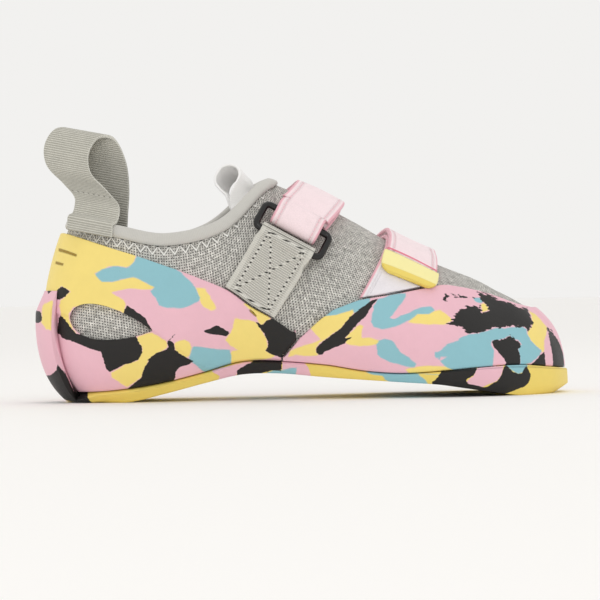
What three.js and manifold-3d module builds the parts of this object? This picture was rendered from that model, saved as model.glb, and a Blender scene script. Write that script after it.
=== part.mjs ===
// Climbing shoe for the right foot, in millimetres.
// +X points to the toe, +Y to the inner (big toe) side and +Z up.
import * as THREE from 'three';
import { mergeVertices } from 'three/addons/utils/BufferGeometryUtils.js';
import Module from 'manifold-3d';

const wasm = await Module();
wasm.setup();

// Main sizes of the last
const LENGTH = 236;          // heel to toe
const BALL_HALF = 41;        // half the upper's width at the ball
const INSTEP = 95;           // height of the collar's front

// Walls and clearances
const FIT = 0.3;             // gap between pieces that touch
const SEAT = 0.45;           // gap under the large curved rubber pieces
const UPPER_WALL = 2;
const RAND_WALL = 2.2;
const CUP_WALL = 1.6;        // heel cup, under the sling band
const SOLE_RUBBER = 3.5;     // under the foot
const SOLE_PROUD = 3.4;      // how far the sole's side stands out of the upper
const STRIP_WALL = 3.1;      // sole strip on the heel's back
const STRIP_TOP = 48;        // its height
const STRIP_TAPER = 9;       // it thins out over this height
const STRIP_RIB = 1.1;       // where its edges lie, counted in ribs from the heel
const INSOLE_THICK = 2;
const BINDING_WALL = 1;
const BINDING_DEPTH = 4.2;
const BINDING_SEAT = 0.65;   // gap under the binding, which bends round a tight edge

// Straps, rings and webbing
const STRAP_THICK = 2;
const INSTEP_STRAP_WIDTH = 21.5;
const FOREFOOT_STRAP_WIDTH = 24.5;
const TAB_THICK = 1.8;
const TAB_EXTRA = 1;         // the tab is this much wider than its strap, each side
const WEBBING_THICK = 1.3;
const WEBBING_WIDTH = 25;
const RING_WIRE = 3;
const RING_LONG = 34;
const RING_SHORT = 15;
const RING_CORNER = 2.4;
const INSTEP_SLACK = 3.3;    // how far the instep strap hangs past its bar

// Pull loops
const HEEL_LOOP_WIDTH = 21;
const HEEL_LOOP_THICK = 1.5;
const HEEL_LOOP_HIGH = 41;   // above the collar
const FRONT_LOOP_WIDTH = 14;
const FRONT_LOOP_THICK = 1.1;
const FRONT_LOOP_LONG = 22.5;

// Fineness of the facets
const RIB_STEPS = [2, 2, 2, 3, 3, 4, 4, 3, 2, 2, 2, 3, 3, 2];
const WALL_SHARES = [0, 0.09, 0.19, 0.3, 0.42, 0.56, 0.7, 0.85, 1];
const STRAP_STEP = 7;        // degrees round the foot
const DEGREE = Math.PI / 180;

// Ribs from heel (first row) to toe (last row), a rib on each side for each row.
// "at" is a share of LENGTH, "lateral" and "medial" of BALL_HALF, the rest of INSTEP.
// "out" and "rise" say how the wall leaves the sole, and "topOut", "topDrop" and
// "ahead" how it comes in to the collar or to the ridge of the instep.
const RIBS = table('at lateral medial out rise topOut topDrop ahead', [
  [0.083, 0.000, 0.000, 0.170, 0.115, 0.153, 0.358, 0.000],
  [0.093, 0.232, 0.232, 0.160, 0.118, 0.143, 0.347, 0.000],
  [0.123, 0.415, 0.415, 0.142, 0.116, 0.116, 0.316, 0.000],
  [0.174, 0.512, 0.512, 0.126, 0.137, 0.074, 0.274, 0.000],
  [0.254, 0.549, 0.549, 0.105, 0.168, 0.042, 0.232, 0.000],
  [0.360, 0.537, 0.512, 0.105, 0.211, 0.063, 0.211, 0.000],
  [0.445, 0.585, 0.561, 0.116, 0.242, 0.168, 0.147, 0.042],
  [0.517, 0.683, 0.659, 0.095, 0.263, 0.232, 0.021, 0.084],
  [0.606, 0.829, 0.805, 0.074, 0.232, 0.253, 0.000, 0.053],
  [0.699, 0.939, 0.915, 0.053, 0.189, 0.263, 0.000, 0.000],
  [0.797, 0.927, 0.988, 0.042, 0.168, 0.253, 0.000, 0.000],
  [0.877, 0.744, 0.976, 0.038, 0.168, 0.270, 0.000, 0.000],
  [0.946, 0.427, 0.829, 0.022, 0.188, 0.305, 0.000, 0.000],
  [0.982, 0.073, 0.561, 0.004, 0.208, 0.335, 0.000, 0.000],
  [0.996, -0.244, 0.244, -0.010, 0.220, 0.352, 0.000, 0.000],
]);

// Collar edge from the heel's back to the front: shares of LENGTH, BALL_HALF, INSTEP
const COLLAR = table('at half high', [
  [0.075, 0.000, 0.832],
  [0.080, 0.220, 0.827],
  [0.103, 0.415, 0.814],
  [0.153, 0.585, 0.783],
  [0.237, 0.646, 0.745],
  [0.335, 0.585, 0.802],
  [0.409, 0.317, 0.958],
  [0.439, 0.000, 0.998],
]);

// Ridge of the instep from the collar's front to the toe, "inward" to the big toe
const RIDGE = table('at inward high', [
  [0.439, 0.000, 0.998],
  [0.517, 0.012, 0.914],
  [0.602, 0.037, 0.803],
  [0.691, 0.073, 0.676],
  [0.763, 0.110, 0.600],
  [0.818, 0.146, 0.547],
  [0.852, 0.171, 0.505],
  [0.871, 0.195, 0.483],
]);

// Sole seen from the side: arch under it and the top of its edge
const SOLE = table('at low high', [
  [0.000, 0.000, 0.065],
  [0.093, 0.000, 0.059],
  [0.161, 0.000, 0.069],
  [0.229, 0.036, 0.094],
  [0.297, 0.078, 0.133],
  [0.369, 0.116, 0.179],
  [0.441, 0.119, 0.180],
  [0.530, 0.098, 0.157],
  [0.596, 0.084, 0.128],
  [0.660, 0.071, 0.115],
  [0.730, 0.056, 0.120],
  [0.800, 0.028, 0.128],
  [0.877, 0.000, 0.132],
  [0.950, 0.000, 0.119],
  [1.000, 0.000, 0.107],
]);

// Top edges of the two rands and the sling band's lower edge, seen from the side
const HEEL_RAND_TOP = table('at high', [
  [0.056, 0.774], [0.128, 0.703], [0.189, 0.649], [0.260, 0.588], [0.297, 0.549],
  [0.347, 0.496], [0.387, 0.425], [0.431, 0.363], [0.478, 0.280], [0.520, 0.200],
]);
const TOE_RAND_TOP = table('at high', [
  [0.445, 0.184], [0.478, 0.280], [0.529, 0.384], [0.555, 0.416], [0.585, 0.441],
  [0.644, 0.459], [0.710, 0.481], [0.745, 0.492], [0.780, 0.480], [0.811, 0.464],
  [0.846, 0.439], [0.890, 0.401], [0.932, 0.379],
]);
const SLING_EDGE = table('at high', [
  [0.000, 0.411], [0.062, 0.395], [0.208, 0.322], [0.246, 0.253], [0.280, 0.189], [0.320, 0.120],
]);

// Window in the heel rand: four curves round from its pointed front
const WINDOW = table('handleAt handleHigh nextAt nextHigh at high', [
  [0.174, 0.388, 0.127, 0.450, 0.095, 0.449],
  [0.072, 0.448, 0.062, 0.421, 0.062, 0.385],
  [0.064, 0.331, 0.083, 0.290, 0.119, 0.286],
  [0.157, 0.283, 0.186, 0.301, 0.208, 0.322],
]);

const TOE_RIB = RIBS.length - 1;
const FRONT_RIB = COLLAR.length - 1;

function table(columns, rows) {
  const names = columns.split(' ');
  return rows.map((row) => Object.fromEntries(names.map((name, i) => [name, row[i]])));
}

// Smooth curve through four neighbours
function cubic(a, b, c, d, f) {
  return b + 0.5 * f * (c - a + f * (2 * a - 5 * b + 4 * c - d + f * (3 * (b - c) + d - a)));
}

// Value between rows of a closed run of 2n rows, counted from -n to n
function around(value, q, n) {
  const turned = q - 2 * n * Math.floor((q + n) / (2 * n));
  const i = Math.floor(turned);
  const at = (k) => value(k > n ? k - 2 * n : k < -n ? k + 2 * n : k);
  return cubic(at(i - 1), at(i), at(i + 1), at(i + 2), turned - i);
}

// Value between the rows of an open table, by row number
function between(rows, name, place) {
  const last = rows.length - 1;
  const i = Math.min(Math.max(Math.floor(place), 0), last - 1);
  const at = (k) => {
    if (k < 0) return 2 * rows[0][name] - rows[1][name];
    if (k > last) return 2 * rows[last][name] - rows[last - 1][name];
    return rows[k][name];
  };
  return cubic(at(i - 1), at(i), at(i + 1), at(i + 2), place - i);
}

// Height of a line of the side view at x
function lineAt(rows, name, x) {
  const share = x / LENGTH;
  const last = rows.length - 1;
  if (share <= rows[0].at) return rows[0][name] * INSTEP;
  if (share >= rows[last].at) return rows[last][name] * INSTEP;
  const i = rows.findIndex((row) => row.at > share) - 1;
  const part = (share - rows[i].at) / (rows[i + 1].at - rows[i].at);
  return between(rows, name, i + part) * INSTEP;
}

const soleLow = (x) => Math.max(lineAt(SOLE, 'low', x), 0);
const soleTop = (x) => lineAt(SOLE, 'high', x);

// Feather line, where the upper meets the sole's cup
function feather(q) {
  const x = around((i) => RIBS[Math.abs(i)].at, q, TOE_RIB) * LENGTH;
  const side = (i) => (i < 0 ? -RIBS[-i].lateral : RIBS[i].medial);
  const y = around(side, q, TOE_RIB) * BALL_HALF;
  return new THREE.Vector3(x, y, soleLow(x) + SOLE_RUBBER + FIT);
}

// Direction away from the shoe, in plan
function outward(q) {
  const step = 0.02;
  const run = feather(q + step).sub(feather(q - step));
  return new THREE.Vector3(-run.y, run.x, 0).normalize();
}

const ribOf = (q) => Math.abs(q - 2 * TOE_RIB * Math.round(q / (2 * TOE_RIB)));
const onRidge = (q) => ribOf(q) >= FRONT_RIB;

function collarEdge(q) {
  const side = (i) => Math.sign(i) * COLLAR[Math.abs(i)].half;
  return new THREE.Vector3(
    around((i) => COLLAR[Math.abs(i)].at, q, FRONT_RIB) * LENGTH,
    around(side, q, FRONT_RIB) * BALL_HALF,
    around((i) => COLLAR[Math.abs(i)].high, q, FRONT_RIB) * INSTEP,
  );
}

function ridge(rib) {
  const place = Math.max(rib - FRONT_RIB, 0);
  return new THREE.Vector3(
    between(RIDGE, 'at', place) * LENGTH,
    between(RIDGE, 'inward', place) * BALL_HALF,
    between(RIDGE, 'high', place) * INSTEP,
  );
}

function ridgeRun(rib) {
  const step = 0.05;
  const place = Math.min(Math.max(rib, FRONT_RIB + step), TOE_RIB - step);
  return ridge(place + step).sub(ridge(place - step)).normalize();
}

// The four points that shape a rib: feather, swell, approach and top
function ribPoints(q) {
  const share = (name) => around((i) => RIBS[Math.abs(i)][name], q, TOE_RIB) * INSTEP;
  const away = outward(q);
  const rib = ribOf(q);
  const foot = feather(q);
  const swell = foot.clone().addScaledVector(away, share('out'));
  swell.z += share('rise');
  const top = onRidge(q) ? ridge(rib) : collarEdge(q);
  const forward = ridgeRun(rib);
  const level = onRidge(q)
    ? forward.clone().multiplyScalar(away.x).add(new THREE.Vector3(0, away.y, 0))
    : away;
  const approach = top.clone().addScaledVector(level, share('topOut'));
  approach.addScaledVector(forward, share('ahead'));
  approach.z -= share('topDrop');
  return [foot, swell, approach, top];
}

// The last's surface: q counts ribs round the shoe (0 heel, negative outer side),
// t runs from the feather line (0) to the collar or ridge (1)
function wall(q, t) {
  const s = 1 - t;
  const weights = [s * s * s, 3 * s * s * t, 3 * s * t * t, t * t * t];
  const point = new THREE.Vector3();
  ribPoints(q).forEach((corner, i) => point.addScaledVector(corner, weights[i]));
  return point;
}

function ridgeNormal(q) {
  const run = ridgeRun(ribOf(q));
  return new THREE.Vector3(-run.z, 0, run.x).normalize();
}

function wallNormal(q, t) {
  if (onRidge(q) && t > 0.999) return ridgeNormal(q);
  const step = 0.01;
  const high = Math.min(t + step, 0.98);
  const low = Math.max(Math.min(t, 0.98) - step, 0);
  const rise = wall(q, high).sub(wall(q, low));
  const run = wall(q + step, t).sub(wall(q - step, t));
  const normal = rise.cross(run).normalize();
  const nearRidge = THREE.MathUtils.smoothstep(ribOf(q), FRONT_RIB - 1.2, FRONT_RIB);
  return t > 0.999 ? normal.lerp(ridgeNormal(q), nearRidge).normalize() : normal;
}

const skin = (q, t, offset) => wall(q, t).addScaledVector(wallNormal(q, t), offset);

// Height share t where a rib crosses a line of the side view
function crossing(q, height) {
  let low = 0;
  let high = 1;
  for (let i = 0; i < 24; i += 1) {
    const middle = (low + high) / 2;
    const point = wall(q, middle);
    if (point.z < height(point.x)) low = middle;
    else high = middle;
  }
  return low;
}

// Rib whose feather point lies at x, on the inner side
function ribAt(x) {
  let low = 0;
  let high = TOE_RIB;
  for (let i = 0; i < 24; i += 1) {
    const middle = (low + high) / 2;
    if (feather(middle).x < x) low = middle;
    else high = middle;
  }
  return low;
}

function spread(from, to, count) {
  return Array.from({ length: count + 1 }, (_, i) => from + (to - from) * (i / count));
}

// Four-sided faces between rows of points
function grid(rows, loop = false) {
  const faces = [];
  const count = loop ? rows.length : rows.length - 1;
  for (let r = 0; r < count; r += 1) {
    const here = rows[r];
    const next = rows[(r + 1) % rows.length];
    for (let c = 0; c < here.length - 1; c += 1) {
      faces.push([here[c], next[c], next[c + 1], here[c + 1]]);
    }
  }
  return faces;
}

// Two sheets of rows joined along their edges into a plate
function plate(outer, inner, { loop = false, rim = () => true } = {}) {
  const faces = grid(outer, loop);
  grid(inner, loop).forEach((face) => faces.push(face.slice().reverse()));
  const count = loop ? outer.length : outer.length - 1;
  for (let r = 0; r < count; r += 1) {
    const s = (r + 1) % outer.length;
    const end = outer[r].length - 1;
    faces.push([inner[r][0], inner[s][0], outer[s][0], outer[r][0]]);
    if (rim(r)) faces.push([outer[r][end], outer[s][end], inner[s][end], inner[r][end]]);
  }
  if (!loop) {
    const last = outer.length - 1;
    for (let c = 0; c < outer[0].length - 1; c += 1) {
      faces.push([outer[0][c], outer[0][c + 1], inner[0][c + 1], inner[0][c]]);
      faces.push([inner[last][c], inner[last][c + 1], outer[last][c + 1], outer[last][c]]);
    }
  }
  return faces;
}

// Closed geometry from faces, with its triangles facing out
function solid(faces) {
  const positions = [];
  faces.forEach((face) => {
    for (let i = 2; i < face.length; i += 1) {
      [face[0], face[i - 1], face[i]].forEach((p) => positions.push(p.x, p.y, p.z));
    }
  });
  const loose = new THREE.BufferGeometry();
  loose.setAttribute('position', new THREE.Float32BufferAttribute(positions, 3));
  const geometry = mergeVertices(loose, 1e-3);
  const index = geometry.index.array;
  const kept = [];
  for (let i = 0; i < index.length; i += 3) {
    const [a, b, c] = [index[i], index[i + 1], index[i + 2]];
    if (a !== b && b !== c && c !== a) kept.push(a, b, c);
  }
  geometry.setIndex(kept);
  if (volume(geometry) < 0) {
    for (let i = 0; i < kept.length; i += 3) [kept[i], kept[i + 1]] = [kept[i + 1], kept[i]];
    geometry.setIndex(kept);
  }
  return geometry;
}

function volume(geometry) {
  const { array } = geometry.attributes.position;
  const corner = (i) => new THREE.Vector3().fromArray(array, i * 3);
  const index = geometry.index.array;
  let sum = 0;
  for (let i = 0; i < index.length; i += 3) {
    sum += corner(index[i]).dot(corner(index[i + 1]).cross(corner(index[i + 2])));
  }
  return sum / 6;
}

function toManifold(geometry) {
  return new wasm.Manifold(new wasm.Mesh({
    numProp: 3,
    vertProperties: new Float32Array(geometry.attributes.position.array),
    triVerts: new Uint32Array(geometry.index.array),
  }));
}

function fromManifold(manifold) {
  const mesh = manifold.getMesh();
  const geometry = new THREE.BufferGeometry();
  geometry.setAttribute('position', new THREE.BufferAttribute(mesh.vertProperties, 3));
  geometry.setIndex(new THREE.BufferAttribute(mesh.triVerts, 1));
  return geometry;
}

// The wall's own height shares, held between two of them
function wallShares(low, high) {
  return WALL_SHARES.map((t) => THREE.MathUtils.clamp(t, low, high));
}

const aboveSole = (x) => soleTop(x) + FIT;
const halfRibs = RIB_STEPS.flatMap((steps, i) => spread(i, i + 1, steps).slice(0, -1));
const allRibs = [-TOE_RIB, ...halfRibs.slice(1).map((q) => -q).reverse(), ...halfRibs];

// Ribs from one place to another, counted on past the toe where "to" is beyond it
function ribsBetween(from, to) {
  const turned = allRibs.map((q) => q + 2 * TOE_RIB);
  const inside = [...allRibs, ...turned].filter((q) => q > from + 0.1 && q < to - 0.1);
  return [from, ...inside, to];
}

function upper() {
  const sheet = (offset) => allRibs.map((q) => WALL_SHARES.map((t) => skin(q, t, offset)));
  const rim = (r) => ribOf(allRibs[r] + 0.1) < FRONT_RIB;
  return solid(plate(sheet(0), sheet(-UPPER_WALL), { loop: true, rim }));
}

const ON_RAND = SEAT + RAND_WALL + FIT;
const HEEL_ROUNDING = 6;     // how far the sole's bottom edge curls in
const SIDE_ROUNDING = 1.2;
const TOE_ROUNDING = 7;

function soleRounding(rib) {
  const heel = 1 - THREE.MathUtils.smoothstep(rib, 0.5, 3);
  const toe = THREE.MathUtils.smoothstep(rib, TOE_RIB - 3, TOE_RIB);
  return SIDE_ROUNDING + (HEEL_ROUNDING - SIDE_ROUNDING) * heel
    + (TOE_ROUNDING - SIDE_ROUNDING) * toe;
}

// Cover a ring of rows with a lid in column c, from side to side
function lid(rows, c) {
  const mirror = (k) => (rows.length - k) % rows.length;
  return rows.slice(0, rows.length / 2).map((row, i) => [
    row[c], rows[i + 1][c], rows[mirror(i + 1)][c], rows[mirror(i)][c],
  ]);
}

const atLeast = (point, height) => point.setZ(Math.max(point.z, height));

// Cup of the sole: bottom, rounded edge, side and the inside of its lip
function soleCup() {
  const rows = allRibs.map((q) => {
    const foot = feather(q);
    const away = outward(q);
    const lip = crossing(q, soleTop);
    const atStrip = 1 - THREE.MathUtils.smoothstep(ribOf(q), STRIP_RIB, STRIP_RIB + 1);
    const proud = THREE.MathUtils.lerp(SOLE_PROUD, ON_RAND + STRIP_WALL, atStrip);
    const bottom = skin(q, 0, proud).addScaledVector(away, -soleRounding(ribOf(q)));
    bottom.z = soleLow(foot.x);
    const side = [0, lip / 2, lip].map((t, i) => (
      atLeast(skin(q, t, proud), bottom.z + (i + 1) * FIT)
    ));
    const floor = foot.clone().addScaledVector(away, SEAT);
    floor.z = foot.z - FIT;
    return [bottom, ...side, skin(q, lip, SEAT), skin(q, lip / 2, SEAT), floor];
  });
  const faces = grid(rows, true);
  lid(rows, 0).forEach((face) => faces.push(face.reverse()));
  faces.push(...lid(rows, rows[0].length - 1));
  return solid(faces);
}

// Strip of sole rubber that wraps up the heel's back, over the rand
function heelStrip() {
  const ribs = spread(-STRIP_RIB, STRIP_RIB, 6);
  const outer = [];
  const inner = [];
  ribs.forEach((q) => {
    const lip = crossing(q, soleTop);
    const top = crossing(q, () => STRIP_TOP);
    const shares = [0.04, lip - 0.02, lip, ...spread(lip, top, 8).slice(1)];
    const thick = (t) => {
      const share = (STRIP_TOP - wall(q, t).z) / STRIP_TAPER;
      return THREE.MathUtils.clamp(STRIP_WALL * share, FIT, STRIP_WALL);
    };
    outer.push(shares.map((t, i) => atLeast(skin(q, t, ON_RAND + thick(t)), (i + 1) * FIT)));
    inner.push(shares.map((t, i) => skin(q, t, i < 2 ? ON_RAND / 2 : ON_RAND)));
  });
  return solid(plate(outer, inner));
}

function outsole() {
  return fromManifold(toManifold(soleCup()).add(toManifold(heelStrip())));
}

function insole() {
  const inset = UPPER_WALL + FIT;
  const ring = (q, rise) => {
    const point = feather(q).addScaledVector(outward(q), -inset);
    point.z += rise;
    return point;
  };
  const rows = allRibs.map((q) => [ring(q, 0), ring(q, INSOLE_THICK)]);
  const faces = grid(rows, true);
  lid(rows, 0).forEach((face) => faces.push(face.reverse()));
  faces.push(...lid(rows, 1));
  return solid(faces);
}

// The toe rand starts at the sole, and the heel rand ends against its edge
const MEETING_AT = TOE_RAND_TOP[0].at * LENGTH;
const toeRandLine = (x) => (x < MEETING_AT ? 0 : lineAt(TOE_RAND_TOP, 'high', x));
const heelRandLine = (x) => lineAt(HEEL_RAND_TOP, 'high', x);
const MEETING = ribAt(MEETING_AT);
const THIN = 0.012;          // least height of a rand, as a share of the rib
const toeRandHigh = (q) => Math.max(crossing(q, toeRandLine), crossing(q, aboveSole) + 2 * THIN);
const TOE_RAND_START = MEETING + 0.05;
const HEEL_RAND_END = MEETING + heelRandReach();

// Ribs from the meeting to where the heel rand's edge comes down to the toe rand's
function heelRandReach() {
  let low = 0;
  let high = 2;
  for (let i = 0; i < 24; i += 1) {
    const middle = (low + high) / 2;
    const sides = [MEETING + middle, -MEETING - middle];
    if (sides.every((q) => crossing(q, heelRandLine) > toeRandHigh(q) + 3 * THIN)) low = middle;
    else high = middle;
  }
  return low;
}

function windowCutter() {
  const point = (at, high) => [at * LENGTH, high * INSTEP];
  const outline = new THREE.Shape();
  outline.moveTo(...point(WINDOW.at(-1).at, WINDOW.at(-1).high));
  WINDOW.forEach((row) => outline.bezierCurveTo(
    ...point(row.handleAt, row.handleHigh),
    ...point(row.nextAt, row.nextHigh),
    ...point(row.at, row.high),
  ));
  const reach = 2 * BALL_HALF;
  const options = { depth: 2 * reach, curveSegments: 4, bevelEnabled: false };
  const block = new THREE.ExtrudeGeometry(outline, options);
  block.rotateX(Math.PI / 2);
  block.translate(0, reach, 0);
  block.deleteAttribute('normal');
  block.deleteAttribute('uv');
  return mergeVertices(block, 1e-3);
}

// Heel rubber: the sling band is thicker than the cup below it
function heelRand() {
  const outer = [];
  const inner = [];
  const sling = (x) => lineAt(SLING_EDGE, 'high', x);
  const ribs = ribsBetween(-HEEL_RAND_END, HEEL_RAND_END);
  ribs.push(-TOE_RAND_START, -MEETING, MEETING, TOE_RAND_START);
  const rows = [...new Set(ribs)].sort((a, b) => a - b);
  rows.forEach((q) => {
    const low = ribOf(q) > MEETING ? toeRandHigh(q) + THIN : crossing(q, aboveSole);
    const high = Math.max(crossing(q, heelRandLine), low + 4 * THIN);
    const seam = Math.min(Math.max(crossing(q, sling), low + THIN), high - 2 * THIN);
    const cup = wallShares(low, seam);
    const band = wallShares(seam + THIN, high);
    outer.push([
      ...cup.map((t) => skin(q, t, SEAT + CUP_WALL)),
      ...band.map((t) => skin(q, t, SEAT + RAND_WALL)),
    ]);
    inner.push([...cup, ...band].map((t) => skin(q, t, SEAT)));
  });
  const whole = solid(plate(outer, inner));
  return fromManifold(toManifold(whole).subtract(toManifold(windowCutter())));
}

function toeRand() {
  const outer = [];
  const inner = [];
  const ends = [TOE_RAND_START, 2 * TOE_RIB - TOE_RAND_START];
  const ribs = ribsBetween(...ends);
  ribs.push(HEEL_RAND_END, 2 * TOE_RIB - HEEL_RAND_END);
  ribs.sort((a, b) => a - b).forEach((q) => {
    const shares = wallShares(crossing(q, aboveSole), toeRandHigh(q));
    outer.push(shares.map((t) => skin(q, t, SEAT + RAND_WALL)));
    inner.push(shares.map((t) => skin(q, t, SEAT)));
  });
  return solid(plate(outer, inner));
}

// Straps lie in planes that lean forward; "centre" is a point inside the foot
const INSTEP_PLANE = { lean: 45.5 * DEGREE, at: 0.438, high: 0.682 };
const WEBBING_PLANE = { lean: 34 * DEGREE, at: 0.4284, high: 0.602 };
const FOREFOOT_PLANE = { lean: 32 * DEGREE, at: 0.635, high: 0.407 };
const FOREFOOT_OVER = { lean: 23.5 * DEGREE, at: 0.656, high: 0.426 };

function mixPlanes(a, b, share) {
  const mix = (name) => THREE.MathUtils.lerp(a[name], b[name], share);
  return { lean: mix('lean'), at: mix('at'), high: mix('high') };
}

const skinMesh = new THREE.Mesh(
  solid(grid(allRibs.map((q) => WALL_SHARES.map((t) => skin(q, t, 0))), true)),
  new THREE.MeshStandardMaterial({ side: THREE.DoubleSide }),
);
skinMesh.geometry.computeVertexNormals();

// Point where a line meets the upper's facets
function pressed(start, aim) {
  return new THREE.Raycaster(start, aim).intersectObject(skinMesh)[0].point;
}

// Frame on the collar's edge: out of the wall and down along it
function collarFrame(q) {
  const step = 0.02;
  const run = collarEdge(q + step).sub(collarEdge(q - step)).normalize();
  const out = wallNormal(q, 1);
  out.addScaledVector(run, -out.dot(run)).normalize();
  return { out, down: out.clone().cross(run).normalize() };
}

// Band folded over the collar's edge, pressed on the wall's facets on both sides
function collarBinding() {
  const cover = BINDING_SEAT + BINDING_WALL;
  const back = -UPPER_WALL - BINDING_SEAT;
  const rows = ribsBetween(-FRONT_RIB, FRONT_RIB).slice(0, -1).map((q) => {
    const edge = collarEdge(q);
    const { out, down } = collarFrame(q);
    const [half, full] = [BINDING_DEPTH / 2, BINDING_DEPTH].map((drop) => {
      const above = edge.clone().addScaledVector(down, drop).addScaledVector(out, BINDING_DEPTH);
      return pressed(above, out.clone().negate());
    });
    const onEdge = (across) => edge.clone().addScaledVector(out, across);
    const onWall = (spot, across) => spot.clone().addScaledVector(out, across);
    return [
      onWall(full, BINDING_SEAT), onWall(full, cover), onWall(half, cover), onEdge(cover),
      onEdge(-UPPER_WALL / 2).addScaledVector(down, -cover),
      onEdge(back - BINDING_WALL), onWall(half, back - BINDING_WALL),
      onWall(full, back - BINDING_WALL), onWall(full, back), onWall(half, back),
      onEdge(back).addScaledVector(down, -FIT), onEdge(BINDING_SEAT).addScaledVector(down, -FIT),
      onWall(half, BINDING_SEAT), onWall(full, BINDING_SEAT),
    ];
  });
  return solid(grid(rows, true));
}

function planeAxes(plane) {
  return {
    up: new THREE.Vector3(Math.sin(plane.lean), 0, Math.cos(plane.lean)),
    across: new THREE.Vector3(Math.cos(plane.lean), 0, -Math.sin(plane.lean)),
    centre: new THREE.Vector3(plane.at * LENGTH, 0, plane.high * INSTEP),
  };
}

// Point and normal of the upper, w across the strap and turned round the foot
function onFoot(plane, w, turn) {
  const { up, across, centre } = planeAxes(plane);
  const start = centre.addScaledVector(across, w);
  const aim = up.multiplyScalar(Math.cos(turn));
  aim.y = Math.sin(turn);
  const hits = new THREE.Raycaster(start, aim).intersectObject(skinMesh);
  const hit = hits[hits.length - 1];
  const normal = hit.normal.clone();
  if (normal.dot(aim) < 0) normal.negate();
  return { point: hit.point, normal };
}

const lifted = ({ point, normal }, height) => point.clone().addScaledVector(normal, height);

// Turn at which a strap's line comes down to a rand's top edge
function turnAtEdge(plane, w, side) {
  let high = 0;
  let low = side * 150 * DEGREE;
  const clear = 3 * FIT;
  for (let i = 0; i < 20; i += 1) {
    const middle = (low + high) / 2;
    const { point } = onFoot(plane, w, middle);
    const line = Math.max(heelRandLine(point.x), toeRandLine(point.x));
    if (point.z > line + clear) high = middle;
    else low = middle;
  }
  return high;
}

// Ring lying on the foot: centre, long direction, short direction and normal
function ringFrame(plane, turn) {
  const reach = 0.36 * RING_LONG;
  const spots = [-1, -0.5, 0, 0.5, 1].flatMap((share) => [-1, 0, 1].map((side) => (
    onFoot(plane, share * reach, turn + side * RING_TURN)
  )));
  const centre = spots[7].point.clone();
  const long = spots[13].point.clone().sub(spots[1].point).normalize();
  const normal = new THREE.Vector3();
  spots.forEach((spot) => normal.add(spot.normal));
  normal.addScaledVector(long, -long.dot(normal)).normalize();
  const short = normal.clone().cross(long).normalize();
  if (short.z < 0) short.negate();
  const bulge = Math.max(...spots.map(({ point }) => point.clone().sub(centre).dot(normal)));
  centre.addScaledVector(normal, bulge + LIFT + STRAP_THICK + FIT + RING_WIRE / 2);
  return { centre, long, short, normal };
}

// Turn of a point round a plane's centre
function turnOf(plane, point) {
  const { up, centre } = planeAxes(plane);
  const arm = point.clone().sub(centre);
  return Math.atan2(arm.y, arm.dot(up));
}

// Centre of the ring's bar nearer to the ridge (+1) or to the sole (-1)
function barCentre(ring, which) {
  return ring.centre.clone().addScaledVector(ring.short, which * (RING_SHORT - RING_WIRE) / 2);
}

const columns = (width, count = 3) => spread(-width / 2, width / 2, count);

// Strap that starts at "from", goes round a ring's bar and comes back to "to"
function foldedStrap({ plane, over = plane, width, thick, ring, bar, slack = 0, from, to }) {
  const fold = barCentre(ring, bar).addScaledVector(ring.short, -bar * slack);
  const open = RING_WIRE / 2 + FIT;
  const pastBar = barCentre(ring, bar).addScaledVector(ring.short, bar * (open + thick));
  const leave = turnOf(plane, pastBar);
  const near = leave + Math.sign(from(0) - leave) * NEAR_FOLD;
  const leg = (share) => pastBar.clone().lerp(fold, share);
  const end = ring.short.clone().multiplyScalar(-bar);
  const inside = [];
  const outside = [];
  const layer = (turns, level) => turns.forEach((share) => {
    const rows = columns(width).map((w) => level(w, share));
    inside.push(rows.map((pair) => pair[0]));
    outside.push(rows.map((pair) => pair[1]));
  });
  const steps = (a, b) => Math.max(Math.ceil(Math.abs(a - b) / (STRAP_STEP * DEGREE)), 2);
  layer(spread(0, 1, steps(from(0), near)), (w, share) => {
    const turn = from(w) + (near - from(w)) * share;
    const spot = onFoot(plane, w, turn);
    return [lifted(spot, LIFT + thick), lifted(spot, LIFT)];
  });
  layer([-0.5, ...spread(0, 1, 5), 1.5], (w, share) => {
    const angle = THREE.MathUtils.clamp(share, 0, 1) * Math.PI;
    const aim = ring.normal.clone().multiplyScalar(-Math.cos(angle));
    aim.addScaledVector(end, Math.sin(angle));
    const line = leg(share === -0.5 || share === 1.5 ? 0 : 1).addScaledVector(ring.long, w);
    return [open, open + thick].map((r) => line.clone().addScaledVector(aim, r));
  });
  layer(spread(0, 1, steps(to(0), near)), (w, share) => {
    const turn = near + (to(w) - near) * share;
    const gap = THREE.MathUtils.lerp(2 * open, FIT, Math.min(share * 2, 1));
    const low = LIFT + thick + gap;
    const spot = onFoot(mixPlanes(plane, over, Math.min(share * 1.6, 1)), w, turn);
    return [lifted(spot, low), lifted(spot, low + thick)];
  });
  return solid(plate(inside, outside));
}

const LIFT = 0.55;           // gap under the straps
const NEAR_FOLD = 4 * DEGREE;
const RING_TURN = 9 * DEGREE;
const INSTEP_RING = ringFrame(WEBBING_PLANE, -55 * DEGREE);
const FOREFOOT_RING = ringFrame(FOREFOOT_PLANE, 60 * DEGREE);
const FOREFOOT_END = -52 * DEGREE;
const INSTEP_END = 72 * DEGREE;
const TAB_REACH = 20 * DEGREE;

function instepStrap() {
  return foldedStrap({
    plane: INSTEP_PLANE,
    width: INSTEP_STRAP_WIDTH,
    thick: STRAP_THICK,
    ring: INSTEP_RING,
    bar: 1,
    slack: INSTEP_SLACK,
    from: (w) => turnAtEdge(INSTEP_PLANE, w, 1),
    to: () => INSTEP_END,
  });
}

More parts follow.
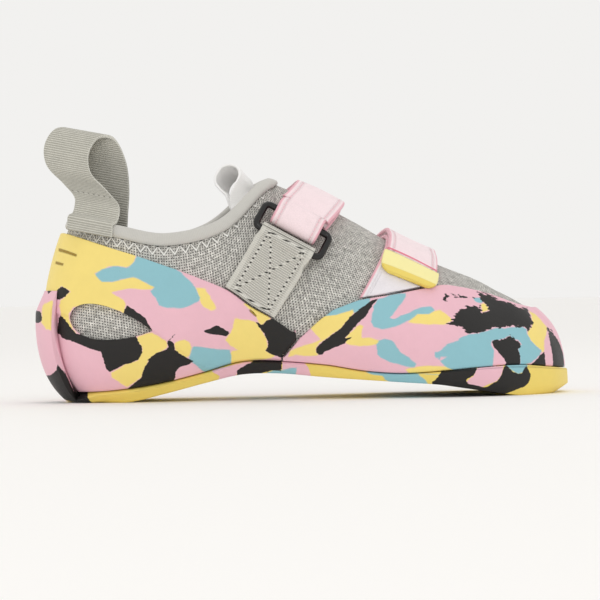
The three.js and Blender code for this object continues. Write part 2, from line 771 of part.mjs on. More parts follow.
function forefootStrap() {
  return foldedStrap({
    plane: FOREFOOT_PLANE,
    over: FOREFOOT_OVER,
    width: FOREFOOT_STRAP_WIDTH,
    thick: STRAP_THICK,
    ring: FOREFOOT_RING,
    bar: 1,
    from: (w) => turnAtEdge(FOREFOOT_PLANE, w, -1),
    to: () => FOREFOOT_END,
  });
}

function instepRingWebbing() {
  return foldedStrap({
    plane: WEBBING_PLANE,
    width: WEBBING_WIDTH,
    thick: WEBBING_THICK,
    ring: INSTEP_RING,
    bar: -1,
    from: (w) => turnAtEdge(WEBBING_PLANE, w, -1),
    to: (w) => turnAtEdge(WEBBING_PLANE, w, -1),
  });
}

function forefootRingWebbing() {
  return foldedStrap({
    plane: FOREFOOT_PLANE,
    width: WEBBING_WIDTH,
    thick: WEBBING_THICK,
    ring: FOREFOOT_RING,
    bar: -1,
    from: (w) => turnAtEdge(FOREFOOT_PLANE, w, 1),
    to: (w) => turnAtEdge(FOREFOOT_PLANE, w, 1),
  });
}

// Pull tab that carries on from a strap's end, with rounded corners
function tab(plane, strapWidth, start, side) {
  const low = LIFT + STRAP_THICK + 2 * FIT;
  const inside = [];
  const outside = [];
  const width = strapWidth + 2 * TAB_EXTRA;
  const begin = start + side * 1.2 * DEGREE;
  [0, 0.35, 0.7, 0.88, 1].forEach((share) => {
    const turn = begin + side * TAB_REACH * share;
    const narrow = Math.sqrt(1 - 0.55 * share ** 6);
    const spots = columns(width * narrow).map((w) => onFoot(plane, w, turn));
    inside.push(spots.map((spot) => lifted(spot, low)));
    outside.push(spots.map((spot) => lifted(spot, low + TAB_THICK)));
  });
  return solid(plate(inside, outside));
}

// Wire ring with round corners
function ringSolid({ centre, long, short, normal }) {
  const halfLong = (RING_LONG - RING_WIRE) / 2 - RING_CORNER;
  const halfShort = (RING_SHORT - RING_WIRE) / 2 - RING_CORNER;
  const corners = [[1, 1], [-1, 1], [-1, -1], [1, -1]];
  const rows = [];
  corners.forEach(([a, b], i) => {
    spread(0, 90, 3).forEach((degrees) => {
      const angle = (i * 90 + degrees) * DEGREE;
      const away = long.clone().multiplyScalar(Math.cos(angle));
      away.addScaledVector(short, Math.sin(angle));
      const point = centre.clone().addScaledVector(long, a * halfLong);
      point.addScaledVector(short, b * halfShort).addScaledVector(away, RING_CORNER);
      rows.push(spread(0, 360, 6).map((turn) => point.clone()
        .addScaledVector(away, Math.cos(turn * DEGREE) * RING_WIRE / 2)
        .addScaledVector(normal, Math.sin(turn * DEGREE) * RING_WIRE / 2)));
    });
  });
  return solid(grid(rows, true));
}

// Ribbon along a path, its width laid along "side" at each point
function ribbon(path, side, width, thick) {
  const faces = [[], []];
  path.forEach((point, i) => {
    const before = path[Math.max(i - 1, 0)];
    const after = path[Math.min(i + 1, path.length - 1)];
    const across = side(i / (path.length - 1));
    const out = after.clone().sub(before).cross(across).normalize();
    [0.5, -0.5].forEach((half, k) => faces[k].push([-0.5, 0.5].map((edge) => point.clone()
      .addScaledVector(across, edge * width).addScaledVector(out, half * thick))));
  });
  return solid(plate(faces[0], faces[1]));
}

// Heel pull loop: up the outside of the collar, over, and down inside it.
// The path's columns are shares of the loop's height, from the collar's edge.
const HEEL_LOOP_RIB = -2.2;
const HEEL_LOOP_TILT = 0.2;
const HEEL_LOOP_PATH = table('ahead inward up', [
  [0.000, -0.010, 0.060], [0.030, 0.040, 0.150], [0.030, 0.100, 0.240],
  [-0.090, 0.180, 0.400], [-0.250, 0.240, 0.590], [-0.260, 0.310, 0.800],
  [-0.140, 0.380, 0.965], [0.010, 0.410, 0.955], [0.130, 0.390, 0.720],
  [0.160, 0.350, 0.430], [0.140, 0.310, 0.150], [0.120, 0.270, -0.080],
  [0.100, 0.230, -0.280],
]);

function heelLoop() {
  const q = HEEL_LOOP_RIB;
  const edge = collarEdge(q);
  const away = outward(q);
  const along = new THREE.Vector3(-away.y, away.x, 0);
  const cover = BINDING_SEAT + BINDING_WALL + 2 * FIT + HEEL_LOOP_THICK;
  const low = crossing(q, (x) => heelRandLine(x) + 10 * FIT);
  const points = spread(low, 1, 2).map((t) => skin(q, t, cover));
  HEEL_LOOP_PATH.forEach(({ ahead, inward, up }) => {
    const step = new THREE.Vector3(ahead, inward, up).multiplyScalar(HEEL_LOOP_HIGH);
    points.push(edge.clone().add(step));
  });
  const path = new THREE.CatmullRomCurve3(points, false, 'centripetal').getPoints(32);
  const side = along.setZ(-HEEL_LOOP_TILT).normalize();
  return ribbon(path, () => side, HEEL_LOOP_WIDTH, HEEL_LOOP_THICK);
}

// Front pull loop, sewn inside the collar near its front and twisted to the side.
// The path's columns are shares of the loop's length.
const FRONT_LOOP_RIB = -5.75;
const FRONT_LOOP_PATH = table('long wide', [
  [0.000, 0.034], [0.200, 0.034], [0.400, 0.100], [0.580, 0.230], [0.780, 0.260],
  [0.930, 0.160], [0.990, 0.000], [0.930, -0.160], [0.780, -0.260], [0.580, -0.230],
  [0.400, -0.100], [0.200, -0.034], [0.000, -0.034],
]);

function frontLoop() {
  const inside = UPPER_WALL + BINDING_WALL + 3 * FIT + 1.7 * FRONT_LOOP_THICK;
  const base = skin(FRONT_LOOP_RIB, 0.95, -inside);
  const reach = new THREE.Vector3(-0.3, 0.6, 0.74).normalize();
  const run = collarEdge(FRONT_LOOP_RIB - 0.1).sub(collarEdge(FRONT_LOOP_RIB + 0.1));
  const sewn = run.addScaledVector(reach, -run.dot(reach)).normalize();
  const open = new THREE.Vector3(0.55, 0.66, -0.52);
  open.addScaledVector(reach, -open.dot(reach)).normalize();
  const side = (share) => {
    const turned = THREE.MathUtils.smoothstep(Math.sin(Math.PI * share), 0.1, 0.8);
    return sewn.clone().lerp(open, turned).normalize();
  };
  const last = FRONT_LOOP_PATH.length - 1;
  const points = FRONT_LOOP_PATH.map((row, i) => base.clone()
    .addScaledVector(reach, row.long * FRONT_LOOP_LONG)
    .addScaledVector(side(i / last).cross(reach), row.wide * FRONT_LOOP_LONG));
  const path = new THREE.CatmullRomCurve3(points, false, 'centripetal').getPoints(24);
  return ribbon(path, side, FRONT_LOOP_WIDTH, FRONT_LOOP_THICK);
}

// Finishes: colour, roughness and metalness
const FINISHES = {
  rubber: [0xe7b8c0, 0.55, 0],
  knit: [0xbbbab3, 0.95, 0],
  binding: [0xa09d97, 0.85, 0],
  footbed: [0x9a9890, 0.9, 0],
  webbing: [0xc7c5b8, 0.85, 0],
  wire: [0x232121, 0.4, 0.2],
  strap: [0xfde7ea, 0.8, 0],
  tab: [0xfbf1a9, 0.6, 0],
  loop: [0xb3b3aa, 0.85, 0],
};

const PIECES = [
  ['outsole', outsole, 'rubber'],
  ['heel_rand', heelRand, 'rubber'],
  ['toe_rand', toeRand, 'rubber'],
  ['upper', upper, 'knit'],
  ['collar_binding', collarBinding, 'binding'],
  ['insole', insole, 'footbed'],
  ['instep_ring_webbing', instepRingWebbing, 'webbing'],
  ['instep_ring', () => ringSolid(INSTEP_RING), 'wire'],
  ['instep_strap', instepStrap, 'strap'],
  ['instep_strap_tab', () => tab(INSTEP_PLANE, INSTEP_STRAP_WIDTH, INSTEP_END, 1), 'tab'],
  ['forefoot_strap', forefootStrap, 'strap'],
  ['forefoot_strap_tab', () => tab(FOREFOOT_OVER, FOREFOOT_STRAP_WIDTH, FOREFOOT_END, -1), 'tab'],
  ['forefoot_ring_webbing', forefootRingWebbing, 'webbing'],
  ['forefoot_ring', () => ringSolid(FOREFOOT_RING), 'wire'],
  ['heel_loop', heelLoop, 'loop'],
  ['front_loop', frontLoop, 'loop'],
];

// Shoe with its origin under the middle of its box, on the floor
const shoe = new THREE.Group();
PIECES.forEach(([name, make, finish]) => {
  const [color, roughness, metalness] = FINISHES[finish];
  const material = new THREE.MeshStandardMaterial({ color, roughness, metalness });
  const mesh = new THREE.Mesh(make(), material);
  mesh.name = name;
  shoe.add(mesh);
});
const box = new THREE.Box3().setFromObject(shoe);
const middle = box.getCenter(new THREE.Vector3());
shoe.position.set(-middle.x, -middle.y, -box.min.z);

export default shoe;
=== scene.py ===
import math

import bpy
import numpy as np
from mathutils import Matrix, Vector
from mathutils.bvhtree import BVHTree


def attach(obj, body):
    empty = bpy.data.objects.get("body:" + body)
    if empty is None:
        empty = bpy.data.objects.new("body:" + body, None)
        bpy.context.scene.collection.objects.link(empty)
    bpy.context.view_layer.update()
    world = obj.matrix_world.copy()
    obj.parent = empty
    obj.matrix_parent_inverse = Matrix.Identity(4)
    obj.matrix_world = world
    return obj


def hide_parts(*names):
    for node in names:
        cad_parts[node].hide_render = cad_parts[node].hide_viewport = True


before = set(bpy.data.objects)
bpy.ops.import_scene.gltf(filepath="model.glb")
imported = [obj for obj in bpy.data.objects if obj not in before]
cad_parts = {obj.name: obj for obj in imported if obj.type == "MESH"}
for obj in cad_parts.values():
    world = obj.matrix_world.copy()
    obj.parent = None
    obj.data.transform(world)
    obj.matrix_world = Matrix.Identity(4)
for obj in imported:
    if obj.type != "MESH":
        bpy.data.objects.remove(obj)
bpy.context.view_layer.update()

# Sizes of the last, in millimetres, and its tables: the same as the part's source
LENGTH = 236.0
BALL_HALF = 41.0
INSTEP = 95.0
SHIFT = np.array([-119.76330, -0.91135, 0.0])
FIT = 0.3
SEAT = 0.45
UPPER_WALL = 2.0
RAND_WALL = 2.2
CUP_WALL = 1.6
SOLE_RUBBER = 3.5
SOLE_PROUD = 3.4
STRIP_WALL = 3.1
STRIP_TOP = 48.0
STRIP_TAPER = 9.0
STRIP_RIB = 1.1
BINDING_WALL = 1.0
BINDING_DEPTH = 4.2
BINDING_SEAT = 0.65
STRAP_THICK = 2.0
INSTEP_STRAP_WIDTH = 21.5
FOREFOOT_STRAP_WIDTH = 24.5
TAB_THICK = 1.8
TAB_EXTRA = 1.0
WEBBING_THICK = 1.3
WEBBING_WIDTH = 25.0
RING_WIRE = 3.0
RING_LONG = 34.0
RING_SHORT = 15.0
RING_CORNER = 2.4
INSTEP_SLACK = 3.3
HEEL_LOOP_WIDTH = 21.0
HEEL_LOOP_THICK = 1.5
HEEL_LOOP_HIGH = 41.0
FRONT_LOOP_WIDTH = 14.0
FRONT_LOOP_THICK = 1.1
FRONT_LOOP_LONG = 22.5
LIFT = 0.55
THIN = 0.012


def table(columns, rows):
    """Rows of numbers as a dictionary of columns"""
    return dict(zip(columns.split(), np.array(rows, float).T))


RIBS = table("at lateral medial out rise topOut topDrop ahead", [
    [0.083, 0.000, 0.000, 0.170, 0.115, 0.153, 0.358, 0.000],
    [0.093, 0.232, 0.232, 0.160, 0.118, 0.143, 0.347, 0.000],
    [0.123, 0.415, 0.415, 0.142, 0.116, 0.116, 0.316, 0.000],
    [0.174, 0.512, 0.512, 0.126, 0.137, 0.074, 0.274, 0.000],
    [0.254, 0.549, 0.549, 0.105, 0.168, 0.042, 0.232, 0.000],
    [0.360, 0.537, 0.512, 0.105, 0.211, 0.063, 0.211, 0.000],
    [0.445, 0.585, 0.561, 0.116, 0.242, 0.168, 0.147, 0.042],
    [0.517, 0.683, 0.659, 0.095, 0.263, 0.232, 0.021, 0.084],
    [0.606, 0.829, 0.805, 0.074, 0.232, 0.253, 0.000, 0.053],
    [0.699, 0.939, 0.915, 0.053, 0.189, 0.263, 0.000, 0.000],
    [0.797, 0.927, 0.988, 0.042, 0.168, 0.253, 0.000, 0.000],
    [0.877, 0.744, 0.976, 0.038, 0.168, 0.270, 0.000, 0.000],
    [0.946, 0.427, 0.829, 0.022, 0.188, 0.305, 0.000, 0.000],
    [0.982, 0.073, 0.561, 0.004, 0.208, 0.335, 0.000, 0.000],
    [0.996, -0.244, 0.244, -0.010, 0.220, 0.352, 0.000, 0.000],
])
COLLAR = table("at half high", [
    [0.075, 0.000, 0.832], [0.080, 0.220, 0.827], [0.103, 0.415, 0.814], [0.153, 0.585, 0.783],
    [0.237, 0.646, 0.745], [0.335, 0.585, 0.802], [0.409, 0.317, 0.958], [0.439, 0.000, 0.998],
])
RIDGE = table("at inward high", [
    [0.439, 0.000, 0.998], [0.517, 0.012, 0.914], [0.602, 0.037, 0.803], [0.691, 0.073, 0.676],
    [0.763, 0.110, 0.600], [0.818, 0.146, 0.547], [0.852, 0.171, 0.505], [0.871, 0.195, 0.483],
])
SOLE = table("at low high", [
    [0.000, 0.000, 0.065], [0.093, 0.000, 0.059], [0.161, 0.000, 0.069], [0.229, 0.036, 0.094],
    [0.297, 0.078, 0.133], [0.369, 0.116, 0.179], [0.441, 0.119, 0.180], [0.530, 0.098, 0.157],
    [0.596, 0.084, 0.128], [0.660, 0.071, 0.115], [0.730, 0.056, 0.120], [0.800, 0.028, 0.128],
    [0.877, 0.000, 0.132], [0.950, 0.000, 0.119], [1.000, 0.000, 0.107],
])
HEEL_RAND_TOP = table("at high", [
    [0.056, 0.774], [0.128, 0.703], [0.189, 0.649], [0.260, 0.588], [0.297, 0.549],
    [0.347, 0.496], [0.387, 0.425], [0.431, 0.363], [0.478, 0.280], [0.520, 0.200],
])
TOE_RAND_TOP = table("at high", [
    [0.445, 0.184], [0.478, 0.280], [0.529, 0.384], [0.555, 0.416], [0.585, 0.441],
    [0.644, 0.459], [0.710, 0.481], [0.745, 0.492], [0.780, 0.480], [0.811, 0.464],
    [0.846, 0.439], [0.890, 0.401], [0.932, 0.379],
])
SLING_EDGE = table("at high", [
    [0.000, 0.411], [0.062, 0.395], [0.208, 0.322], [0.246, 0.253], [0.280, 0.189], [0.320, 0.120],
])
WINDOW = table("handleAt handleHigh nextAt nextHigh at high", [
    [0.174, 0.388, 0.127, 0.450, 0.095, 0.449], [0.072, 0.448, 0.062, 0.421, 0.062, 0.385],
    [0.064, 0.331, 0.083, 0.290, 0.119, 0.286], [0.157, 0.283, 0.186, 0.301, 0.208, 0.322],
])
TOE_RIB = len(RIBS["at"]) - 1
FRONT_RIB = len(COLLAR["at"]) - 1


# The last's surface

def cubic(a, b, c, d, f):
    return b + 0.5 * f * (c - a + f * (2 * a - 5 * b + 4 * c - d + f * (3 * (b - c) + d - a)))


def around(left, right, q, n):
    """Value between rows of a closed run, left for the outer side and right for the inner"""
    ring = np.concatenate([left[:0:-1], right[:n]])
    i = np.floor(q).astype(int)
    at = lambda k: ring[(i + k + n) % (2 * n)]
    return cubic(at(-1), at(0), at(1), at(2), q - i)


def between(column, place):
    last = len(column) - 1
    longer = np.concatenate([[2 * column[0] - column[1]], column, [2 * column[-1] - column[-2]]])
    i = np.clip(np.floor(place).astype(int), 0, last - 1)
    return cubic(longer[i], longer[i + 1], longer[i + 2], longer[i + 3], place - i)


def line_at(rows, name, x):
    """Height of a line of the side view at x"""
    share = np.clip(np.asarray(x, float) / LENGTH, rows["at"][0], rows["at"][-1])
    i = np.clip(np.searchsorted(rows["at"], share, side="right") - 1, 0, len(rows["at"]) - 2)
    part = (share - rows["at"][i]) / (rows["at"][i + 1] - rows["at"][i])
    return between(rows[name], i + part) * INSTEP


def sole_low(x):
    return np.maximum(line_at(SOLE, "low", x), 0)


def sole_top(x):
    return line_at(SOLE, "high", x)


def above_sole(x):
    return sole_top(x) + FIT


def unit(v):
    return v / np.linalg.norm(v, axis=-1, keepdims=True)


def pack(*columns):
    return np.stack(np.broadcast_arrays(*columns), -1)


def feather(q):
    x = around(RIBS["at"], RIBS["at"], q, TOE_RIB) * LENGTH
    y = around(-RIBS["lateral"], RIBS["medial"], q, TOE_RIB) * BALL_HALF
    return pack(x, y, sole_low(x) + SOLE_RUBBER + FIT)


def outward(q):
    run = feather(q + 0.02) - feather(q - 0.02)
    return unit(pack(-run[..., 1], run[..., 0], 0 * run[..., 0]))


def rib_of(q):
    return np.abs(q - 2 * TOE_RIB * np.round(q / (2 * TOE_RIB)))


def collar_edge(q):
    high = around(COLLAR["high"], COLLAR["high"], q, FRONT_RIB) * INSTEP
    half = around(-COLLAR["half"], COLLAR["half"], q, FRONT_RIB) * BALL_HALF
    return pack(around(COLLAR["at"], COLLAR["at"], q, FRONT_RIB) * LENGTH, half, high)


def ridge(rib):
    place = np.maximum(rib - FRONT_RIB, 0)
    return pack(
        between(RIDGE["at"], place) * LENGTH,
        between(RIDGE["inward"], place) * BALL_HALF,
        between(RIDGE["high"], place) * INSTEP,
    )


def ridge_run(rib):
    place = np.clip(rib, FRONT_RIB + 0.05, TOE_RIB - 0.05)
    return unit(ridge(place + 0.05) - ridge(place - 0.05))


def ridge_normal(q):
    run = ridge_run(rib_of(q))
    return unit(pack(-run[..., 2], 0 * run[..., 0], run[..., 0]))


def rib_points(q):
    """The four points that shape a rib: feather, swell, approach and top"""
    share = lambda name: around(RIBS[name], RIBS[name], q, TOE_RIB) * INSTEP
    away = outward(q)
    rib = rib_of(q)
    up = np.array([0, 0, 1.0])
    foot = feather(q)
    swell = foot + away * share("out")[..., None] + up * share("rise")[..., None]
    on_ridge = (rib >= FRONT_RIB)[..., None]
    top = np.where(on_ridge, ridge(rib), collar_edge(np.clip(q, -FRONT_RIB, FRONT_RIB)))
    forward = ridge_run(rib)
    level = forward * away[..., :1] + pack(0 * rib, away[..., 1], 0 * rib)
    level = np.where(on_ridge, level, away)
    approach = top + level * share("topOut")[..., None] + forward * share("ahead")[..., None]
    return foot, swell, approach - up * share("topDrop")[..., None], top


def wall(q, t):
    q, t = np.broadcast_arrays(np.asarray(q, float), np.asarray(t, float))
    s = 1 - t
    weights = (s ** 3, 3 * s * s * t, 3 * s * t * t, t ** 3)
    return sum(w[..., None] * p for w, p in zip(weights, rib_points(q)))


def wall_normal(q, t):
    q, t = np.broadcast_arrays(np.asarray(q, float), np.asarray(t, float))
    high = np.minimum(t + 0.01, 0.98)
    low = np.maximum(np.minimum(t, 0.98) - 0.01, 0)
    rise = wall(q, high) - wall(q, low)
    near_top = np.minimum(t, 0.995)
    run = wall(q + 0.01, near_top) - wall(q - 0.01, near_top)
    normal = unit(np.cross(rise, run))
    share = np.where(t > 0.999, smoothstep(rib_of(q), FRONT_RIB - 1.2, FRONT_RIB), 0)
    at_top = normal + (ridge_normal(q) - normal) * share[..., None]
    return unit(at_top)


def smoothstep(x, low, high):
    f = np.clip((np.asarray(x, float) - low) / (high - low), 0, 1)
    return f * f * (3 - 2 * f)


def skin(q, t, offset):
    return wall(q, t) + wall_normal(q, t) * np.asarray(offset, float)[..., None]


def not_below(points, lowest):
    """Points with their height kept at or above a lowest height"""
    points = points.copy()
    points[..., 2] = np.maximum(points[..., 2], lowest)
    return points


def crossing(q, height):
    """Height share t where a rib crosses a line of the side view"""
    q = np.asarray(q, float)
    low, high = np.zeros(q.shape), np.ones(q.shape)
    for _ in range(22):
        middle = (low + high) / 2
        point = wall(q, middle)
        below = point[..., 2] < height(point[..., 0])
        low = np.where(below, middle, low)
        high = np.where(below, high, middle)
    return low


def rib_at(x):
    ribs = np.linspace(0, TOE_RIB, 4001)
    return float(np.interp(x, feather(ribs)[:, 0], ribs))


def run_along(points):
    """Length from the first of a line of points to each"""
    return np.concatenate([[0], np.cumsum(np.linalg.norm(np.diff(points, axis=0), axis=1))])


def run_across(rows):
    """Length along each row of points, from its first"""
    steps = np.linalg.norm(np.diff(rows, axis=1), axis=2)
    return np.concatenate([np.zeros((len(rows), 1)), np.cumsum(steps, axis=1)], axis=1)


def flat_map(along, up):
    return np.stack([np.broadcast_to(along[:, None], up.shape), up], -1)


# Meshes

def mesh_piece(name, points, faces, uv=None, smooth=True, body="root"):
    """Object from points in the last's millimetres, with a flat map in millimetres"""
    mesh = bpy.data.meshes.new(name)
    points = (np.asarray(points, float) + SHIFT) / 1000
    mesh.from_pydata(points.tolist(), [], [list(map(int, f)) for f in faces])
    if uv is not None:
        layer = mesh.uv_layers.new(name="cloth")
        corner = np.zeros(len(mesh.loops), int)
        mesh.loops.foreach_get("vertex_index", corner)
        layer.data.foreach_set("uv", np.asarray(uv, float)[corner].ravel())
    mesh.polygons.foreach_set("use_smooth", [smooth] * len(mesh.polygons))
    mesh.validate()
    mesh.update()
    piece = bpy.data.objects.new(name, mesh)
    bpy.context.scene.collection.objects.link(piece)
    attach(piece, body)
    return piece


def sweep(name, rows, uv, turn_rows=False, turn_columns=True, caps=True, flip=False):
    """Piece from rows of section points (rows, columns, 3)"""
    r, c = rows.shape[:2]
    index = np.arange(r * c).reshape(r, c)
    faces = []
    for i in range(r if turn_rows else r - 1):
        a, b = index[i], index[(i + 1) % r]
        for k in range(c if turn_columns else c - 1):
            face = (a[k], b[k], b[(k + 1) % c], a[(k + 1) % c])
            faces.append(face[::-1] if flip else face)
    if caps and not turn_rows and turn_columns:
        ends = [index[0], index[-1][::-1]]
        faces += [end[::-1] if flip else end for end in ends]
    return mesh_piece(name, rows.reshape(-1, 3), faces, uv.reshape(-1, 2))


def rounded(width, thick, steps, corner=None, edge_steps=4):
    """Section of a band: places across it and its half thickness there"""
    corner = thick / 2 if corner is None else corner
    half = width / 2
    turns = np.linspace(0, math.pi / 2, edge_steps + 1)
    edge = half - corner + corner * np.sin(turns)
    body = np.linspace(-half + corner, half - corner, steps)
    across = np.concatenate([-edge[::-1], body[1:-1], edge])
    reach = np.clip((np.abs(across) - half + corner) / corner, 0, 1)
    return across, thick / 2 * np.sqrt(np.maximum(1 - reach ** 2, 0))


def shell(name, ribs, low, high, outer, inner, rows=40, corner=0.7, turn=False, seam=None, lowest=-9.0):
    """Sheet of rubber or cloth on the wall, from share low to share high of each rib"""
    edge = np.array([0, 0.004, 0.012, 0.024])
    across = np.concatenate([edge, np.linspace(0.04, 0.96, rows - 8), 1 - edge[::-1]])
    share = low[:, None] + (high - low)[:, None] * across
    at = ribs[:, None] + 0 * share
    outside = wall(at, share)
    up = run_across(outside)
    from_edge = np.clip(np.minimum(up, up[:, -1:] - up), 0, corner) / corner
    thick = outer - inner if seam is None else seam(share) - inner
    rounding = 1 - (1 - np.sqrt(1 - (1 - from_edge) ** 2)) * corner / thick
    outside = not_below(skin(at, share, inner + thick * rounding), lowest + FIT * share)
    inside = not_below(skin(at, share, inner), lowest + FIT * share)[:, ::-4]
    section = np.concatenate([outside, inside], axis=1)
    along = run_along(outside[:, rows // 3])
    uv = flat_map(along, up)
    uv = np.concatenate([uv, uv[:, ::-4]], axis=1)
    return sweep(name, section, uv, turn_rows=turn, flip=True)


def ribs_between(start, end, step=0.1):
    return np.linspace(start, end, int(round(abs(end - start) / step)) + 1)


MEETING_AT = TOE_RAND_TOP["at"][0] * LENGTH
MEETING = rib_at(MEETING_AT)


def toe_line(x):
    return np.where(np.asarray(x) < MEETING_AT, 0, line_at(TOE_RAND_TOP, "high", x))


def heel_line(x):
    return line_at(HEEL_RAND_TOP, "high", x)


def toe_rand_high(q):
    return np.maximum(crossing(q, toe_line), crossing(q, above_sole) + 2 * THIN)


def heel_rand_end():
    ribs = MEETING + np.linspace(0, 2, 401)
    clear = np.ones(len(ribs), bool)
    for side in (ribs, -ribs):
        clear &= crossing(side, heel_line) > toe_rand_high(side) + 3 * THIN
    return ribs[np.argmin(clear)]


def upper_body():
    """Knitted upper: one hollow wall, open at the collar and underneath"""
    ribs = np.linspace(-TOE_RIB, TOE_RIB, 281)[:-1]
    shares = np.linspace(0, 1, 72)
    at, share = np.meshgrid(ribs, shares, indexing="ij")
    outside, inside = skin(at, share, 0), skin(at, share[:, ::-1], -UPPER_WALL)
    up = run_across(outside)
    along = run_along(outside[:, 30])
    uv = flat_map(along, up - up[:, -1:])
    section = np.concatenate([outside, inside], axis=1)
    uv = np.concatenate([uv, uv[:, ::-1]], axis=1)
    piece = sweep("upper_knit", section, uv, turn_rows=True, flip=True)
    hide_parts("upper")
    front = round((TOE_RIB - FRONT_RIB) * 10)
    piece["collar"] = [float(along[front]), float(along[-front])]
    return piece


def heel_rubber():
    end = heel_rand_end()
    ribs = ribs_between(-end, end, 0.05)
    low = np.where(np.abs(ribs) > MEETING, toe_rand_high(ribs) + THIN, crossing(ribs, above_sole))
    high = np.maximum(crossing(ribs, heel_line), low + 4 * THIN)
    sling = crossing(ribs, lambda x: line_at(SLING_EDGE, "high", x))
    seam = np.clip(sling, low + THIN, high - 2 * THIN)

    def face(share):
        over = smoothstep(share - seam[:, None], -0.004, 0.006)
        return SEAT + CUP_WALL + (RAND_WALL - CUP_WALL) * over

    piece = shell("heel_rubber", ribs, low, high, SEAT + RAND_WALL, SEAT, rows=150, seam=face)
    cut_window(piece)
    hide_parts("heel_rand")
    return piece


def window_cutter():
    """Prism across the foot, with the window's outline of four curves"""
    last = len(WINDOW["at"]) - 1
    corner = np.array([WINDOW["at"][last] * LENGTH, WINDOW["high"][last] * INSTEP])
    line = []
    for i in range(last + 1):
        knots = [corner] + [
            np.array([WINDOW[at][i] * LENGTH, WINDOW[high][i] * INSTEP])
            for at, high in (("handleAt", "handleHigh"), ("nextAt", "nextHigh"), ("at", "high"))]
        for f in np.linspace(0, 1, 20, endpoint=False):
            a, b, c, d = (1 - f) ** 3, 3 * f * (1 - f) ** 2, 3 * f * f * (1 - f), f ** 3
            line.append(a * knots[0] + b * knots[1] + c * knots[2] + d * knots[3])
        corner = knots[3]
    count = len(line)
    points = [(x, y, z) for y in (-2 * BALL_HALF, 2 * BALL_HALF) for x, z in line]
    faces = [(i, i + count, (i + 1) % count + count, (i + 1) % count) for i in range(count)]
    faces += [tuple(range(count)), tuple(range(2 * count - 1, count - 1, -1))]
    return mesh_piece("window_outline", points, faces)


def cut_window(piece):
    cutter = window_cutter()
    cut = piece.modifiers.new("window", "BOOLEAN")
    cut.operation, cut.solver, cut.object = "DIFFERENCE", "EXACT", cutter
    bpy.context.view_layer.update()
    seen = bpy.context.evaluated_depsgraph_get()
    opened = bpy.data.meshes.new_from_object(piece.evaluated_get(seen))
    piece.modifiers.clear()
    piece.data = opened
    opened.set_sharp_from_angle(angle=math.radians(40))
    bpy.data.objects.remove(cutter)


def toe_rubber():
    start = MEETING + 0.05
    ribs = ribs_between(start, 2 * TOE_RIB - start, 0.04)
    low, high = crossing(ribs, above_sole), toe_rand_high(ribs)
    piece = shell("toe_rubber", ribs, low, high, SEAT + RAND_WALL, SEAT, rows=110)
    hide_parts("toe_rand")
    return piece


ON_RAND = SEAT + RAND_WALL + FIT
SOLE_SWELL = 0.35


def sole_proud(rib):
    at_strip = 1 - smoothstep(rib, STRIP_RIB, STRIP_RIB + 1)
    return SOLE_PROUD + (ON_RAND + STRIP_WALL - SOLE_PROUD) * at_strip


def sole_rounding(rib):
    heel = 1 - smoothstep(rib, 0.5, 3)
    toe = smoothstep(rib, TOE_RIB - 3, TOE_RIB)
    return 1.2 + (6 - 1.2) * heel + (7 - 1.2) * toe


def sole_rubber():
    """Cup of the sole: underside, rounded edge, side and lip"""
    ribs = np.linspace(-TOE_RIB, TOE_RIB, 561)[:-1]
    foot, away, rib = feather(ribs), outward(ribs), rib_of(ribs)
    lip, proud = crossing(ribs, sole_top), sole_proud(rib)
    edge = skin(ribs, 0 * ribs, proud)
    bottom = edge - away * sole_rounding(rib)[:, None]
    bottom[:, 2] = sole_low(foot[:, 0])
    edge[:, 2] = np.maximum(edge[:, 2], bottom[:, 2] + FIT)
    columns = []
    for inward in (1.0, 0.8, 0.6, 0.4, 0.2, 0.08):
        middle = bottom.copy()
        middle[:, 1] += (bottom[np.arange(len(ribs)) * -1, 1] - bottom[:, 1]) * inward / 2
        columns.append(middle)
    for share in np.linspace(0, 1, 7):
        swell = SOLE_SWELL * math.sin(math.pi * share) * np.minimum(sole_rounding(rib), 3)[:, None] / 3
        columns.append(bottom + (edge - bottom) * share + away * swell)
    for share in np.linspace(0.08, 0.92, 9):
        columns.append(not_below(skin(ribs, lip * share, proud), bottom[:, 2] + FIT * (1 + share)))
    for turn in np.linspace(0.15, 1, 4) * math.pi / 2:
        rounded_lip = skin(ribs, lip * (0.88 + 0.12 * math.sin(turn)), proud - 0.9 * (1 - math.cos(turn)))
        columns.append(not_below(rounded_lip, bottom[:, 2] + 2 * FIT))
    columns.append(skin(ribs, lip, SEAT + 0 * ribs))
    floor = foot + away * SEAT
    floor[:, 2] = foot[:, 2] - FIT
    columns.append(floor)
    rows = np.stack(columns, axis=1)
    up = run_across(rows)
    along = run_along(edge)
    uv = flat_map(along, up)
    piece = sweep("sole_rubber", rows, uv, turn_rows=True, turn_columns=False, flip=True)
    add_lids(piece, rows)
    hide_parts("outsole")
    return piece


def add_lids(piece, rows):
    """Close the top floor of the cup"""
    mesh = piece.data
    r, c = rows.shape[:2]
    shape = bpy.data.meshes.new(mesh.name)
    points = [tuple(v.co) for v in mesh.vertices]
    faces = [tuple(p.vertices) for p in mesh.polygons]
    uv = [tuple(d.uv) for d in mesh.uv_layers[0].data]
    for i in range(r // 2):
        a, b = i, i + 1
        k = c - 1
        faces.append(tuple(j * c + k for j in (a, b, (r - b) % r, (r - a) % r)))
    shape.from_pydata(points, [], [dedupe(f) for f in faces if len(set(f)) > 2])
    layer = shape.uv_layers.new(name="cloth")
    n = min(len(uv), len(layer.data))
    for i in range(n):
        layer.data[i].uv = uv[i]
    shape.polygons.foreach_set("use_smooth", [True] * len(shape.polygons))
    shape.validate()
    shape.update()
    piece.data = shape


def dedupe(face):
    return tuple(dict.fromkeys(face))


